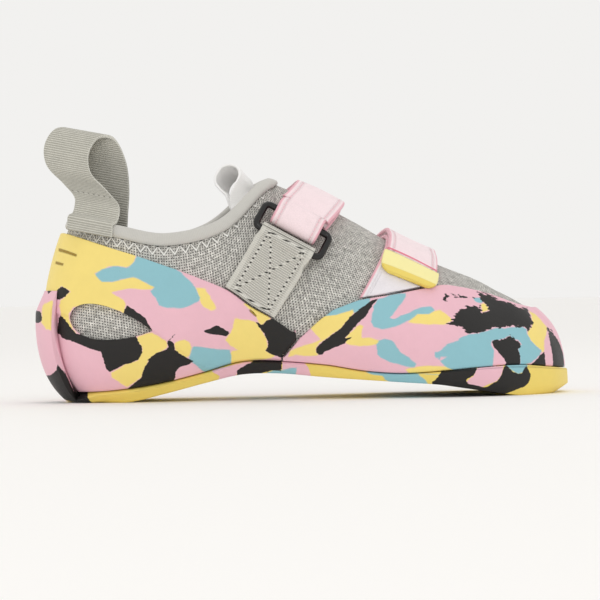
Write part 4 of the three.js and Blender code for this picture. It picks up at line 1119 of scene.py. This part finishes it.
# Camouflage outlines of the outer side, in the last's millimetres along and up
CAMOUFLAGE = {
    "heel_rubber": {
        "shaded_grooves": [
            "11.3,66.4 14.2,65.2 17.9,63.6 17.7,63.1 14.1,64.6 11.2,65.7",
            "9.8,60.8 12.4,59.8 12.3,59.4 9.8,60.2",
            "90.9,38.9 93.6,36.3 93.4,36.1 90.7,38.6"],
        "yellow": [
            "-5.2,79.2 12.6,78 42.7,65.1 42.6,62.1 41.7,60 40,58.3 38.3,57.7 35,58.4 31.6,58.3 "
            "28.7,57.1 25.3,55.4 26.5,53.5 28.1,52 32.3,51.7 35.6,52.5 39.9,53.5 41.6,53.6 44.1,52.5 "
            "47.4,50.6 50.4,49.2 48.2,48 44,48.5 39.8,48.8 35.5,48.2 32.2,47.2 34.2,45.7 36.7,44.2 "
            "37.9,42.2 37.2,40.1 36.6,37.8 35.6,39.2 25.8,41.2 19.6,42.3 16,41.3 14.3,38.4 14.7,34.9 "
            "15.8,31.9 17.7,29.6 16.2,30.2 13.4,34.1 11.1,37.5 10.5,41.8 10.8,44.4 12.4,45.4 14.9,48 "
            "13.3,49.3 11.5,50.2 9.7,48.5 8.5,46.4 7.4,45.8 2.8,48.9 -5.5,61.9",
            "67.9,48.5 71.7,48.5 74.2,44.2 76.8,39.4 74.6,38.6 71.6,40.2 69.9,41.5 69.1,44.3",
            "84.5,35.9 85.8,35 90.9,34.5 93.5,33.4 96.1,29.7 98.3,25.4 98.8,22.4 97.5,21.1 99.7,20 "
            "101.8,18.9 100.6,18 93.4,17.3 86.9,16.3 83,14.9 82.5,19.2 82.9,21.4 85.9,21.7 85.1,22.4 "
            "82,24 80.6,26.1 81.5,27.8 83.2,30.4",
            "88,41.8 91,41.3 96.1,39.6 99.9,34.8 97.4,33.5 96.1,32.1 94.8,33.2 93.9,35.7 91.4,38.8 "
            "89.3,40.5",
            "58.2,25.3 59.9,26.1 62.5,26.5 65,25.2 65.9,23.4 65.1,20 63.9,18.7 61.3,20.3 58.6,22.3",
            "42.2,28.3 45.8,29.3 48.8,30.1 52.2,28 54.8,26.2 55.6,23.6 54.3,22.4 50.9,21.2 47.5,18.4 "
            "45.8,14.8 44.2,10.6 40.8,8.5 38.3,6.6 35.3,8.6 31.9,11.2 31.4,13 35.2,15 36.9,16.7 "
            "39.8,17.1 42.8,18.3 44.5,21.7 44.5,23.8 42.8,26.4",
        ],
        "blue": [
            "42.6,62.1 41.7,60 40,58.3 38.3,57.7 35,58.4 31.6,58.3 28.7,57.1 25.3,55.4 26.5,53.5 "
            "28.1,52 32.3,51.7 35.6,52.5 39.9,53.5 41.6,53.6 44.1,52.5 47.4,50.6 50.4,49.2 48.2,47.6 "
            "50.3,44.6 51.9,41.6 54.9,40.5 61.7,40.1 65.2,41.1 69.1,42.8 69.5,44.3 68.3,47.3 "
            "66.2,50.7 63.7,53.3 60.4,56.3 56.2,60.7 48.7,65 43.6,66",
            "65.9,23.9 73.7,22.6 82.5,21.8 82.9,19.2 83,14.9 78.2,13.3 73.3,12.5 71,13 65.2,17.4 "
            "64.7,19.2 65.5,21.3",
        ],
        "black": [
            "7.4,45.8 8.5,46.4 9.7,48.5 11.5,50.2 13.3,49.3 14.9,48 12.4,45.4 10.8,44.6 7.7,44.9",
            "10.9,38 13.1,35.4 15,32.4 17.4,29.8 20.2,29.8 42.1,29.4 42.2,28.1 42.8,26.4 44.5,23.8 "
            "44.5,21.3 42.8,18.3 39.8,17.1 36.9,16.5 34.4,15.1 31,13.4 29.3,15.1 28.1,19 27.3,22 "
            "21.9,23.8 17.4,25.9 11.4,28.1 10.6,29.6 9.4,30.3 9.9,33.7 10.1,36.3",
            "38.3,41.6 41.7,39.4 45.9,36.1 48.8,31 47.1,31.5 43.7,34.5 40.4,36 36.6,37.2 37.2,39.7",
            "46.6,18.2 50.9,21.2 54.3,22.4 55.8,23.6 55.2,26.2 56.4,26.6 58.2,24.9 58.6,22.3 "
            "61.3,20.3 63.9,18.7 66.9,17.2 64.4,15.9 60.9,14.9 59.2,13.3 58.8,10.2 57.6,7.7 52.3,6.1 "
            "45.9,5.4 38.2,5.5 40.8,8.1 44.2,10.6 45.4,14.9 47.5,17.8",
            "56,26.6 57.3,27.9 58.2,29.3 58.6,28.9 57.7,27.6 56.7,26.6",
            "70.7,30.2 73.7,31.2 76.7,32.6 78.9,31.3 82.4,29.1 80.6,27.6 77.2,28.3 72.4,29.1",
            "93.5,33.4 94.8,33.2 96.1,31.9 97.4,33.5 98.2,34.4 99.9,34.8 102.1,36 105.9,33.4 "
            "112.3,27.1 110.6,24.3 108.1,20.5 106.1,17.5 102.7,18.8 99.7,20 97.5,21.5 98.8,22.8 "
            "98.7,24.9 97,28.8 94.8,31.4",
            "91,39 92.2,38.1 93.5,36.2 92.2,37.1",
        ],
    },
    "toe_rubber": {
        "yellow": [
            "107.4,18.3 108.1,20.9 120.9,25.6 116.5,30.7 120.7,34.4 123.8,36.5 126.3,36.9 129.2,37.1 "
            "133.5,38.1 135.2,38.5 135.1,36.8 132.9,34.2 129.1,30 124.9,27.1 120.7,24.2 119,22 "
            "119.1,20.3 119.9,19 114.5,18.7 110.3,19.2",
            "137.5,32 138.7,31.1 138.3,28.6 138.2,26 141.6,26.2 145.7,24.6 145.3,23.3 137.4,22.6 "
            "133.2,23.1 131.5,23.8 131.1,26.1 134.1,29.1",
            "151.8,43.3 157.2,45 156.1,42.4 153.8,41.2 151.6,40.8 151.2,42.1",
            "159.9,35.1 161.8,36.3 163.6,36.7 167.1,35.8 169.9,37 172.8,37.4 174.5,36.5 177,34.3 "
            "177.7,32.6 174.8,31.4 167.5,31.1 159.6,32.1 157.9,32.5 159.3,33.8",
            "192.8,39.7 194.7,40.3 195.8,38.7 196.9,37 192.7,36",
            "217.5,36.2 221,34.8 223.7,32.1 226.2,28.5 224.4,25.9 222.1,22.5 221.5,18.6 220.3,18.2 "
            "219.9,19.1 217.4,20.9 215.1,23.2 213.8,26.2 214.3,27.5 216.8,29.2 217.7,31.4 218,34.4",
            "156.2,12.3 159.5,12.9 162.5,13.7 166.7,14 171,13.7 175.3,13 186.5,11.9 184.2,9.4 "
            "166.6,9.3 158.4,9.8",
        ],
        "blue": [
            "122.4,35.7 125.9,38.2 131.5,41.1 134.3,42.3 138.3,42.7 142.2,43.1 142.1,40.5 137.7,37.6 "
            "135.1,36.8 134.8,38.5 131.3,37.2 127.1,36",
            "151.4,44.2 148.7,43.4 145.6,42.6 143.8,40 142.7,35.8 142.2,32.8 143.4,30.6 146.7,29.7 "
            "150.1,30.1 154.4,31.3 158.9,33.4 160.7,34.6 162.6,35.9 167.1,35.8 170.4,37.4 168.8,39 "
            "165.6,38.8 161.9,38 158.2,36.4 154.6,35.1 152,33.9 150.3,34.4 152.6,37.3 155.9,40.7 "
            "157.5,42.8 158.2,45 155.4,45",
            "144,22.9 145.3,24.8 147.8,25.7 150.8,25 152.4,22.4 154.5,19.4 157.4,17.6 159.1,15.9 "
            "161.2,14.5 159.9,13.1 155.7,13.8 150.7,15.1 146.9,16.9 144.4,18.7 144.8,20.8",
            "189.6,42.3 193.3,42.7 194.8,40.9 193.1,39.9 190.7,40.6",
            "169.4,17.8 171.2,20.3 174.9,22.8 179.5,24.2 182,26.1 184.3,26.7 189.1,27 192.7,28 "
            "196.2,28.8 198.8,29.2 202.7,29.1 212,29.5 213.4,28.2 213.5,26.2 215.1,23.2 217.4,20.9 "
            "219.9,19.1 219.8,18.3 217.2,15.7 214.3,14.1 211.1,12.9 208,11.3 208.4,16.4 207.8,19.9 "
            "209,21.4 210.1,21.6 208.4,23.8 205.4,24.3 204.6,25.6 202,24.8 199.4,24.2 195.4,23.7 "
            "194.7,22 195.9,19.8 195,15.5 194.6,10.4 179.6,10.8 174.5,12.6 172.3,13.9 171.1,15.6 "
            "174.2,17.3 172,17.3",
            "233,20.9 234.1,16.4 235.8,10.2 233,8.9 235.8,14.9",
            "169,19.5 171.2,19.5 171.1,16.1 168.9,17",
        ],
        "black": [
            "142.6,41.8 146.5,43.4 143.4,40.5 142,38.4 140.1,35.4 137.5,33.3 134.1,29.5 131.1,26.1 "
            "131.5,24.8 131.1,23.8 127,22.3 122.8,20.3 121.6,19 120.3,19 119.1,20.3 119,22 121.6,24.6 "
            "125.7,27.7 129.5,30.4 133.4,35.1 137.7,38.6 140.8,40.5",
            "130.7,25.7 133.2,26.5 134.9,27.1 133.6,25.9 131.5,24.8",
            "177.2,46 177.3,44.2 179.1,43.6 177,42.9 176.3,41.7 174.9,41.7 176.2,43.4",
            "179.2,43.8 186.3,43.1 190.1,42.3 186.2,42.4 179.5,43.3",
            "192.9,44.9 198.5,43.3 203.1,41.2 207.9,39.9 212.7,37.8 217.1,37.5 217.1,34 217.7,31.4 "
            "216.9,29.6 214.3,27.7 212.9,28.8 212.1,29.7 206.4,29.6 200.3,29.3 196.3,29.2 192.7,28 "
            "189.1,27 185.3,26.7 183.5,27.3 182.3,29.1 181,30 178.8,30.9 175.3,31.6 176.7,32.2 "
            "178.7,33.2 179.5,35.6 181.7,37.2 183.7,37.6 185.9,38.9 188.8,38.6 191.2,38.2 192.3,38.6 "
            "192.7,36 196.9,37 195.4,39.2 194.7,40.5 192.9,41.4",
            "195.4,23.7 199.4,24.2 202,24.8 204.6,25.6 206.4,24.2 208.7,22.9 209.5,20.7 207.8,19.9 "
            "208.5,17.3 208,10.9 204.4,10.1 199.4,10.3 201.1,14.1 200.3,16.2 197.7,18.9 195.6,21.5",
            "226.2,28.5 228.1,28 229.8,25.3 232.7,21.7 235.4,17.1 235.3,13.1 232.6,8.5 224.7,8.9 "
            "226.2,13.7 226.1,17.2 225.7,21.5",
            "209.8,12.6 214.2,13.2 217.1,15.3 219.6,17.4 221.5,18.2 221.6,15.6 221.8,9.5 215.5,9.8",
        ],
    },
    "sole_rubber": {
        "pink": [
            "75.7,12 74.7,13.2 89.1,16.5 92.7,16.4 85.3,10.9 84.7,8 76.9,7.3 78.3,10.7",
            "105.2,19.2 108.6,18.7 113.7,16.9 115.8,13.5 117.2,10.4 116.5,7.5 110.7,8.4 110.8,13.6 "
            "107.4,13.2 105,12.3",
            "187.6,12.7 199.8,12.9 198.2,8.6 196.4,6.5 192.2,4.9 189.5,4.1 185.5,4.6 182.8,5.8 "
            "182.3,6.9 185.3,8.9",
            "-1.5,44.6 7.1,44.5 9.5,18.7 9.9,17 9.1,16.2 8.7,14 7.2,12.6 5.8,12.5 -1.7,31.7",
        ],
        "blue": [
            "96.3,8.6 96.4,10.3 100.7,12.4 104.9,12.8 108.3,13.4 110.8,13.6 110.9,10.9 110.7,8.4 "
            "101.9,8.5",
            "134,14.1 135.3,13.2 149.1,10.8 152.3,11.6 173.1,9.5 161,10.7 162,9.8 164.6,7.6 166.5,5.1 "
            "153.9,5.3 147.9,7.9 146.9,9.6 141.5,10.6 137.7,12.3",
            "200.2,13.7 204.3,14 207.9,13.9 211.9,12.9 208.6,9.6 206.6,9.2 203.7,10.6",
        ],
        "black": [
            "9.9,17.9 9.9,16.6 11.6,13.5 14.7,10 19.2,6.8 22.3,6.4 22,2.2 23.9,-0 16.7,0 11.1,1.9 "
            "4.1,11 7.2,12.6 8.7,14 9.1,16.2",
            "92.7,16.8 96.7,19.3 104.8,19.2 104.8,15.4 104.5,12.3 101.6,12.8 96.5,11.6 91.2,10.9 "
            "85.6,10.1 85.7,13.1",
            "172.7,13 187.6,13.2 185.8,9.4 182.3,7.3 182.8,6 189.5,4.1 197.9,3 188.4,0.3 167.4,3.7 "
            "167.6,6.7 169.3,8",
            "201.1,13.3 203.7,10.6 206.6,9.2 208.6,9.6 210.9,12.9 212.3,10.3 213.2,8.5 212.1,5.5 "
            "209.6,3.5 206.6,2.7 197.8,-0 188.4,2 193.1,4.9 196.4,6.5 198.2,8.6 199.8,12.4",
        ],
    },
    "heel_strip": {
        "yellow": [
            "3.5,42.4 7.5,44.5 8.2,42.3 8,31.2 4.7,32.1 2.9,34.7 3.4,38.9",
        ],
        "black": [
            "-1.5,40.7 2.3,39.8 3,39 3.3,35.9 2.1,34.7 -1.9,34.8",
            "5.6,51.9 7.6,51.7 7.3,47.9 6.1,47.1",
        ],
    },
}


def outline(text):
    return np.array([[float(n) for n in pair.split(",")] for pair in text.split()])


def depth_inside(points, outlines):
    """How far points lie inside the nearest of some outlines; below 0 outside"""
    best = np.full(len(points), -40.0)
    for corners in map(outline, outlines):
        ends = np.roll(corners, -1, axis=0)
        near = np.full(len(points), 1e9)
        inside = np.zeros(len(points), bool)
        for (ax, az), (bx, bz) in zip(corners, ends):
            run = np.array([bx - ax, bz - az])
            arm = points - [ax, az]
            share = np.clip(arm @ run / max(run @ run, 1e-9), 0, 1)
            near = np.minimum(near, np.hypot(*(arm - share[:, None] * run).T))
            crosses = (az > points[:, 1]) != (bz > points[:, 1])
            rise = np.where(crosses, (points[:, 1] - az) / (bz - az if bz != az else 1e-9), 0)
            inside ^= crosses & (points[:, 0] < ax + rise * run[0])
        best = np.maximum(best, np.where(inside, near, -near))
    return best


PATCH_RANGE = 40
INNER_SHIFT = np.array([13, -4])


def paint(piece, outlines, fourth="shaded_grooves"):
    """Keep on each point how deep it lies in the patches of each colour"""
    mesh = piece.data
    places = np.zeros(len(mesh.vertices) * 3)
    mesh.vertices.foreach_get("co", places)
    places = places.reshape(-1, 3) * 1000 - SHIFT
    inner = smoothstep(places[:, 1], -4, 24)
    side = places[:, [0, 2]] + inner[:, None] * INNER_SHIFT
    layer = mesh.color_attributes.new("patches", "FLOAT_COLOR", "POINT")
    depths = [depth_inside(side, outlines.get(name, [])) for name in ("yellow", "blue", "black", fourth)]
    kept = np.stack(depths, -1).clip(1 - PATCH_RANGE / 2, PATCH_RANGE / 2 - 1)
    layer.data.foreach_set("color", (0.5 + kept / PATCH_RANGE).astype(np.float32).ravel())


def camouflage(name, base, fourth=PINK):
    """Rubber printed with brushed patches; the fourth outlines are pink patches on the sole, and on the rands
    fine grooves in relief with painted shade inside them
    """
    rubber = Finish(name, Coat_Roughness=0.35, Specular_IOR_Level=0.4)
    read = rubber.node("ShaderNodeAttribute", {"attribute_name": "patches"})
    split = rubber.node("ShaderNodeSeparateColor", None, read)
    stored = [split.output(i) for i in range(3)] + [read.output(3)]
    yellow, blue, black, extra = [value * PATCH_RANGE - PATCH_RANGE / 2 for value in stored]
    brush = rubber.stretched(0.45, (0.35, 1, 1.2))
    soft = rubber.noise(2.2, brush, 3) * 1.3 + rubber.noise(0.5, None, 1) * 0.25
    rough = rubber.noise(1.1, brush, 4) * 1.5
    cloud = rubber.noise(14) * 0.08 + rubber.noise(3) * 0.04
    shade = rubber.mix((extra + soft).rise(-0.2, 0.2), base, fourth) if fourth == PINK else base
    shade = rubber.mix((yellow + soft).rise(-0.4, 0.4), shade, YELLOW)
    shade = rubber.mix((blue + soft).rise(-0.35, 0.35), shade, BLUE)
    x = rubber.node("ShaderNodeSeparateXYZ", None, rubber.place())
    z = x.output(2)
    streaks = rubber.stretched(0.25, (0.2, 1, 1.3))
    dry = x.rise(28, 60) * z.rise(16, 30)
    brushed = rough * 0.7 + (rubber.noise(1.3, streaks, 4) * 4.5 + rough * 0.5) * dry
    shade = rubber.mix((black + brushed).rise(-0.12, 0.12), shade, BLACK)
    # Painted shade: the rand's fine grooves are painted dark inside, beside the relief of their bump
    if fourth != PINK:
        shade = rubber.mix(extra.rise(-0.28, -0.05), shade, fourth)
    rubber.colour(rubber.shade(shade, cloud))
    rubber.put(rubber.shader.inputs["Roughness"], 0.52 + cloud + rubber.noise(0.4) * 0.1)
    relief = rubber.noise(0.35) + rubber.noise(2.5)
    if fourth != PINK:
        relief = relief - extra.rise(-0.45, -0.05) * 8
    rubber.bump(relief, 0.08)
    return rubber


PINHOLES = 1.15
ZIGZAG = {"period": 5.1, "top": 4.5, "high": 3.5}


def knit(collar):
    """Heathered knit with rows of pinholes, and the zigzag below the collar band"""
    cloth = Finish("heathered_knit", 0.95, Sheen_Weight=0.1)
    u, v = cloth.cloth()
    spun = cloth.noise(0.9)
    rows = v / PINHOLES + spun * 0.16
    columns = u / PINHOLES + spun * 0.16
    across = abs(columns.part() - 0.5)
    up = abs(rows.part() - 0.5)
    hole = (across * across + up * up).root().fall(0.14, 0.34)
    fleck = cloth.node("ShaderNodeMapping", None, Vector=cloth.join(u, v), Scale=(1, 0.5, 1))
    heather = cloth.noise(0.9, fleck, 3) * 3.2 + cloth.noise(2.2) * 1.2 + cloth.noise(9) * 0.4
    shade = cloth.shade("cdcbc5", heather * 0.75)
    shade = cloth.mix(hole * (0.85 + heather * 0.4), shade, "23211f")
    step = abs((u / ZIGZAG["period"]).part() - 0.5) * 2
    leg = abs(v + ZIGZAG["top"] + step * ZIGZAG["high"]) * 0.58
    below_collar = u.rise(collar[0] - 1, collar[0]) * u.fall(collar[1], collar[1] + 1)
    thread = leg.fall(0.26, 0.40) * below_collar
    peak = step * (ZIGZAG["period"] / 2)
    above = abs(v + ZIGZAG["top"] - 0.1)
    prick = (peak * peak + above * above).root().fall(0.3, 0.55) * below_collar
    shade = cloth.mix(leg.fall(0.3, 0.75) * below_collar * 0.5, shade, "5b5955")
    shade = cloth.mix(thread, shade, "f4f3ee")
    shade = cloth.mix(prick * 0.9, shade, "2a2926")
    cloth.colour(shade)
    cloth.bump((1 - hole) * (1 - thread) + thread * 2 + heather * 0.5, 0.3)
    return cloth


RIBS_APART = 0.95
PLAIN_EDGE = 2.2


def grosgrain(name, base, dark, low, high, half):
    """Ribbed webbing with plain edges, painted shade along the crease past its fold, and a crossed box of
    stitches from low to high
    """
    cloth = Finish(name, 0.85, Sheen_Weight=0.15)
    u, v = cloth.cloth()
    spun = cloth.noise(0.35, detail=3)
    rib = (v * (2 * math.pi / RIBS_APART) + spun * 1.2).sine() * 0.5 + 0.5
    plain = WEBBING_WIDTH / 2 - PLAIN_EDGE
    inside = abs(u).fall(plain - 0.3, plain + 0.2)
    cross = (u * (2 * math.pi / 0.9)).sine() * 0.5 + 0.5
    relief = rib * (0.55 + cross * 0.45) * (0.6 + inside * 0.4)
    shade = cloth.mix((1 - relief) * (0.35 + inside * 0.3), base, dark)
    shade = cloth.shade(shade, spun * 0.35 + cloth.noise(6) * 0.12)
    # Painted shade: a dark line across the webbing, along the crease just past its fold round the ring
    fold = abs(v - low + 1.6).fall(0.15, 0.45)
    shade = cloth.mix(fold * 0.6, shade, "55524b")
    middle, reach = (low + high) / 2, (high - low) / 2
    slope = half / reach
    along = v - middle
    inside_box = abs(along).fall(reach + 0.2, reach + 0.5)
    cross_lines = abs(abs(u) - abs(along) * slope) / math.hypot(1, slope)
    side_lines = abs(abs(u) - half)
    ends = abs(abs(along) - reach)
    inside_half = abs(u).fall(half + 0.2, half + 0.5)
    seam = cross_lines.least(side_lines).most(1 - inside_box)
    seam = seam.least(ends.most(1 - inside_half))
    pricks = abs(((v + u * 0.35) / 2.3).part() - 0.5)
    thread = seam.fall(0.25, 0.5)
    shade = cloth.mix(thread * pricks.rise(0.1, 0.2) * 0.55, shade, "f2f0e8")
    shade = cloth.mix(thread * pricks.fall(0.12, 0.24), shade, "2c2a25")
    cloth.colour(shade)
    cloth.bump(relief + spun * 0.3, 0.3)
    return cloth


def hook_strap(name, width, end=None, base="fbe6ea", edge="eeb4c0"):
    """Pink strap with piped edges and a line of stitches beside them"""
    cloth = Finish(name, 0.8, Sheen_Weight=0.3)
    u, v = cloth.cloth()
    from_edge = width / 2 - abs(u)
    fleece = cloth.noise(0.4, detail=4) * 0.3 + cloth.noise(5) * 0.1
    shade = cloth.mix(from_edge.fall(0.9, 1.5), base, edge)
    seam = abs(from_edge - 2.8)
    stitch = seam.fall(0.2, 0.45) * abs((v / 2.2).part() - 0.5).fall(0.3, 0.42)
    prick = seam.fall(0.25, 0.5) * abs((v / 2.2).part() - 0.5).rise(0.38, 0.46)
    shade = cloth.mix(stitch * 0.8, cloth.shade(shade, fleece), "f3c3cc")
    shade = cloth.mix(prick * 0.5, shade, "b98a93")
    if end:
        shade = cloth.mix(abs(v - end + 0.9).fall(0.55, 0.75), shade, "e8798f")
        lower = v.fall(20, 21) * from_edge.rise(1.2, 1.6)
        nap = cloth.noise(0.5, detail=4) * 0.15 + cloth.noise(4) * 0.12
        shade = cloth.mix(lower, shade, cloth.shade("efeaef", nap))
    cloth.colour(shade)
    groove = seam.fall(0.3, 0.9)
    cloth.bump(cloth.noise(0.25, detail=3) * 0.35 - groove * 0.8 + stitch * 0.5, 0.35)
    return cloth


def tab_rubber():
    rubber = Finish("tab_rubber", 0.45, Specular_IOR_Level=0.45)
    _, v = rubber.cloth()
    grain = rubber.noise(0.3) * 0.06 + rubber.noise(6) * 0.06
    # Painted light and shade on one yellow rubber: the flat top is painted pale as lit, and the bevel past
    # the step at 8.5 mm along is painted darker as shaded
    shade = rubber.mix(v.rise(8.4, 9.0), "fcf2aa", "f0d769")
    rubber.colour(rubber.shade(shade, grain))
    rubber.bump(rubber.noise(0.3) * 0.3 + v.fall(8.2, 8.8), 0.2)
    return rubber


def black_wire():
    wire = Finish("black_wire", 0.17, Specular_IOR_Level=0.5)
    wire.colour(wire.shade("100f0f", wire.noise(1.5) * 0.3))
    wire.bump(wire.noise(1.2), 0.03)
    return wire


def band_cloth():
    """Smooth folded band round the collar"""
    cloth = Finish("collar_band_cloth", 0.9, Sheen_Weight=0.25)
    u, _ = cloth.cloth()
    fibre = cloth.noise(0.3, detail=4) * 0.2 + cloth.noise(4) * 0.08
    fine = (u * (2 * math.pi / 0.7)).sine() * 0.03
    cloth.colour(cloth.shade("cac8c2", fibre + fine))
    cloth.bump(cloth.noise(0.35, detail=4), 0.12)
    return cloth


def loop_webbing(name, base, dark, width, crease=None):
    cloth = Finish(name, 0.85, Sheen_Weight=0.15)
    u, v = cloth.cloth()
    spun = cloth.noise(0.3, detail=3)
    rib = (v * (2 * math.pi / 1.05) + spun).sine() * 0.5 + 0.5
    shade = cloth.mix((1 - rib) * 0.7, base, dark)
    edge = (width / 2 - abs(u)).fall(0.3, 0.7)
    shade = cloth.mix(edge * 0.8, shade, "dcdad0")
    if crease:
        seam = abs(v - crease).fall(0.25, 0.6)
        gaps = abs((u / 2.4).part() - 0.5).rise(0.12, 0.2)
        shade = cloth.mix(seam * 0.75, shade, "6f6c62")
        shade = cloth.mix(seam * gaps * 0.8, shade, "d8d6cc")
    # Painted shade: from 62 mm along, the far limb of the loop is painted darker, as on its side turned away
    # from the light
    cloth.colour(cloth.shade(shade, spun * 0.5 + cloth.noise(5) * 0.2 - v.rise(62, 80) * 0.3))
    cloth.bump(rib + spun * 0.4, 0.22)
    return cloth


def satin_tape():
    cloth = Finish("satin_tape", 0.45, Sheen_Weight=0.3)
    _, v = cloth.cloth()
    fine = (v * (2 * math.pi / 0.6)).sine()
    cloth.colour(cloth.shade("f8f7f6", fine * 0.03 + cloth.noise(3) * 0.08))
    cloth.bump(fine * 0.3 + cloth.noise(0.4), 0.06)
    return cloth


def footbed_cloth():
    cloth = Finish("footbed_cloth", 0.95, Sheen_Weight=0.2)
    cloth.colour(cloth.shade("8f8c83", cloth.noise(0.5, detail=3) * 0.5 + cloth.noise(12) * 0.2))
    cloth.bump(cloth.noise(0.5, detail=4), 0.25)
    return cloth


def along_length(piece):
    """Length of a band, from its map"""
    data = np.zeros(len(piece.data.loops) * 2)
    piece.data.uv_layers[0].data.foreach_get("uv", data)
    return float(data[1::2].max())


for key in ("heel_rubber", "toe_rubber"):
    paint(PIECES[key], CAMOUFLAGE[key])
paint(PIECES["sole"], CAMOUFLAGE["sole_rubber"], "pink")
STRIP_BLACK = CAMOUFLAGE["heel_strip"]["black"] + CAMOUFLAGE["sole_rubber"]["black"][:1]
paint(PIECES["strip"], {**CAMOUFLAGE["heel_strip"], "black": STRIP_BLACK})
# The fourth colour, a5852c, is painted shade inside the rand's grooves
RAND = camouflage("rand_rubber", PINK, "a5852c")
RAND.wear(PIECES["heel_rubber"], PIECES["toe_rubber"], PIECES["strip"])
camouflage("sole_rubber_print", "f3d970").wear(PIECES["sole"])
knit(PIECES["upper"]["collar"]).wear(PIECES["upper"])
band_cloth().wear(PIECES["binding"])
footbed_cloth().wear(PIECES["footbed"])
hook_strap("instep_strap_cloth", INSTEP_STRAP_WIDTH).wear(PIECES["instep_strap"])
FOREFOOT_CLOTH = hook_strap(
    "forefoot_strap_cloth", FOREFOOT_STRAP_WIDTH, along_length(PIECES["forefoot_strap"]))
FOREFOOT_CLOTH.wear(PIECES["forefoot_strap"])
for key in ("instep_webbing", "forefoot_webbing"):
    end = along_length(PIECES[key])
    grosgrain(key, "e9e7de", "84817a", end / 2 + 4.5, end - 1.5, 8.5).wear(PIECES[key])
black_wire().wear(PIECES["instep_wire"], PIECES["forefoot_wire"])
tab_rubber().wear(PIECES["instep_tab"], PIECES["forefoot_tab"])
loop_webbing("heel_loop_webbing", "d5d3c8", "8c897d", HEEL_LOOP_WIDTH, crease=22).wear(PIECES["heel_loop"])
satin_tape().wear(PIECES["front_loop"])


# Stage: floor, light and camera

FLOOR_HALF = 60.0
FLOOR_COLOUR = (0.985, 0.972, 0.955, 1)
WALL_COLOUR = (0.887, 0.879, 0.863, 1)


def stage():
    """Pale floor and wall, with two soft lights"""
    floor = bpy.data.meshes.new("floor")
    corners = [(x * FLOOR_HALF, y * FLOOR_HALF, 0) for x, y in ((-1, -1), (1, -1), (1, 1), (-1, 1))]
    floor.from_pydata(corners, [], [(0, 1, 2, 3)])
    piece = bpy.data.objects.new("floor", floor)
    bpy.context.scene.collection.objects.link(piece)
    material = bpy.data.materials.new("studio_floor")
    material.use_nodes = True
    shader = material.node_tree.nodes["Principled BSDF"]
    shader.inputs["Base Color"].default_value = FLOOR_COLOUR
    shader.inputs["Roughness"].default_value = 0.7
    floor.materials.append(material)
    world = bpy.data.worlds.new("studio")
    bpy.context.scene.world = world
    world.use_nodes = True
    world.node_tree.nodes["Background"].inputs["Color"].default_value = WALL_COLOUR
    world.node_tree.nodes["Background"].inputs["Strength"].default_value = 1.0
    bpy.context.scene.view_settings.view_transform = "Standard"
    for name, place, size, power in (
        ("key", (-0.4, -1.9, 0.95), 0.7, 3.2), ("top", (0.1, 0.1, 1.3), 0.8, 0.9),
    ):
        light = bpy.data.lights.new(name, "AREA")
        light.size, light.energy = size, power
        lamp = bpy.data.objects.new(name, light)
        lamp.location = place
        lamp.rotation_euler = (Vector((0, 0, 0.04)) - Vector(place)).to_track_quat("-Z", "Y").to_euler()
        bpy.context.scene.collection.objects.link(lamp)


def camera():
    """Camera at the photograph's angle, rolled by a degree"""
    turn, distance, height = math.radians(-8), 1.25, 0.0427
    target = Vector(((117 + SHIFT[0]) / 1000, SHIFT[1] / 1000, height))
    away = Vector((math.sin(turn), -math.cos(turn), 0))
    data = bpy.data.cameras.new("camera")
    data.sensor_width = 36
    data.lens = 2.276 * 1250 / 600 * 36
    seen = bpy.data.objects.new("camera", data)
    seen.location = target + away * distance
    level = (-away).to_track_quat("-Z", "Y").to_matrix()
    roll = Matrix.Rotation(math.radians(-0.95), 3, "Z")
    seen.rotation_euler = (level @ roll).to_euler()
    bpy.context.scene.collection.objects.link(seen)
    bpy.context.scene.camera = seen


stage()
camera()
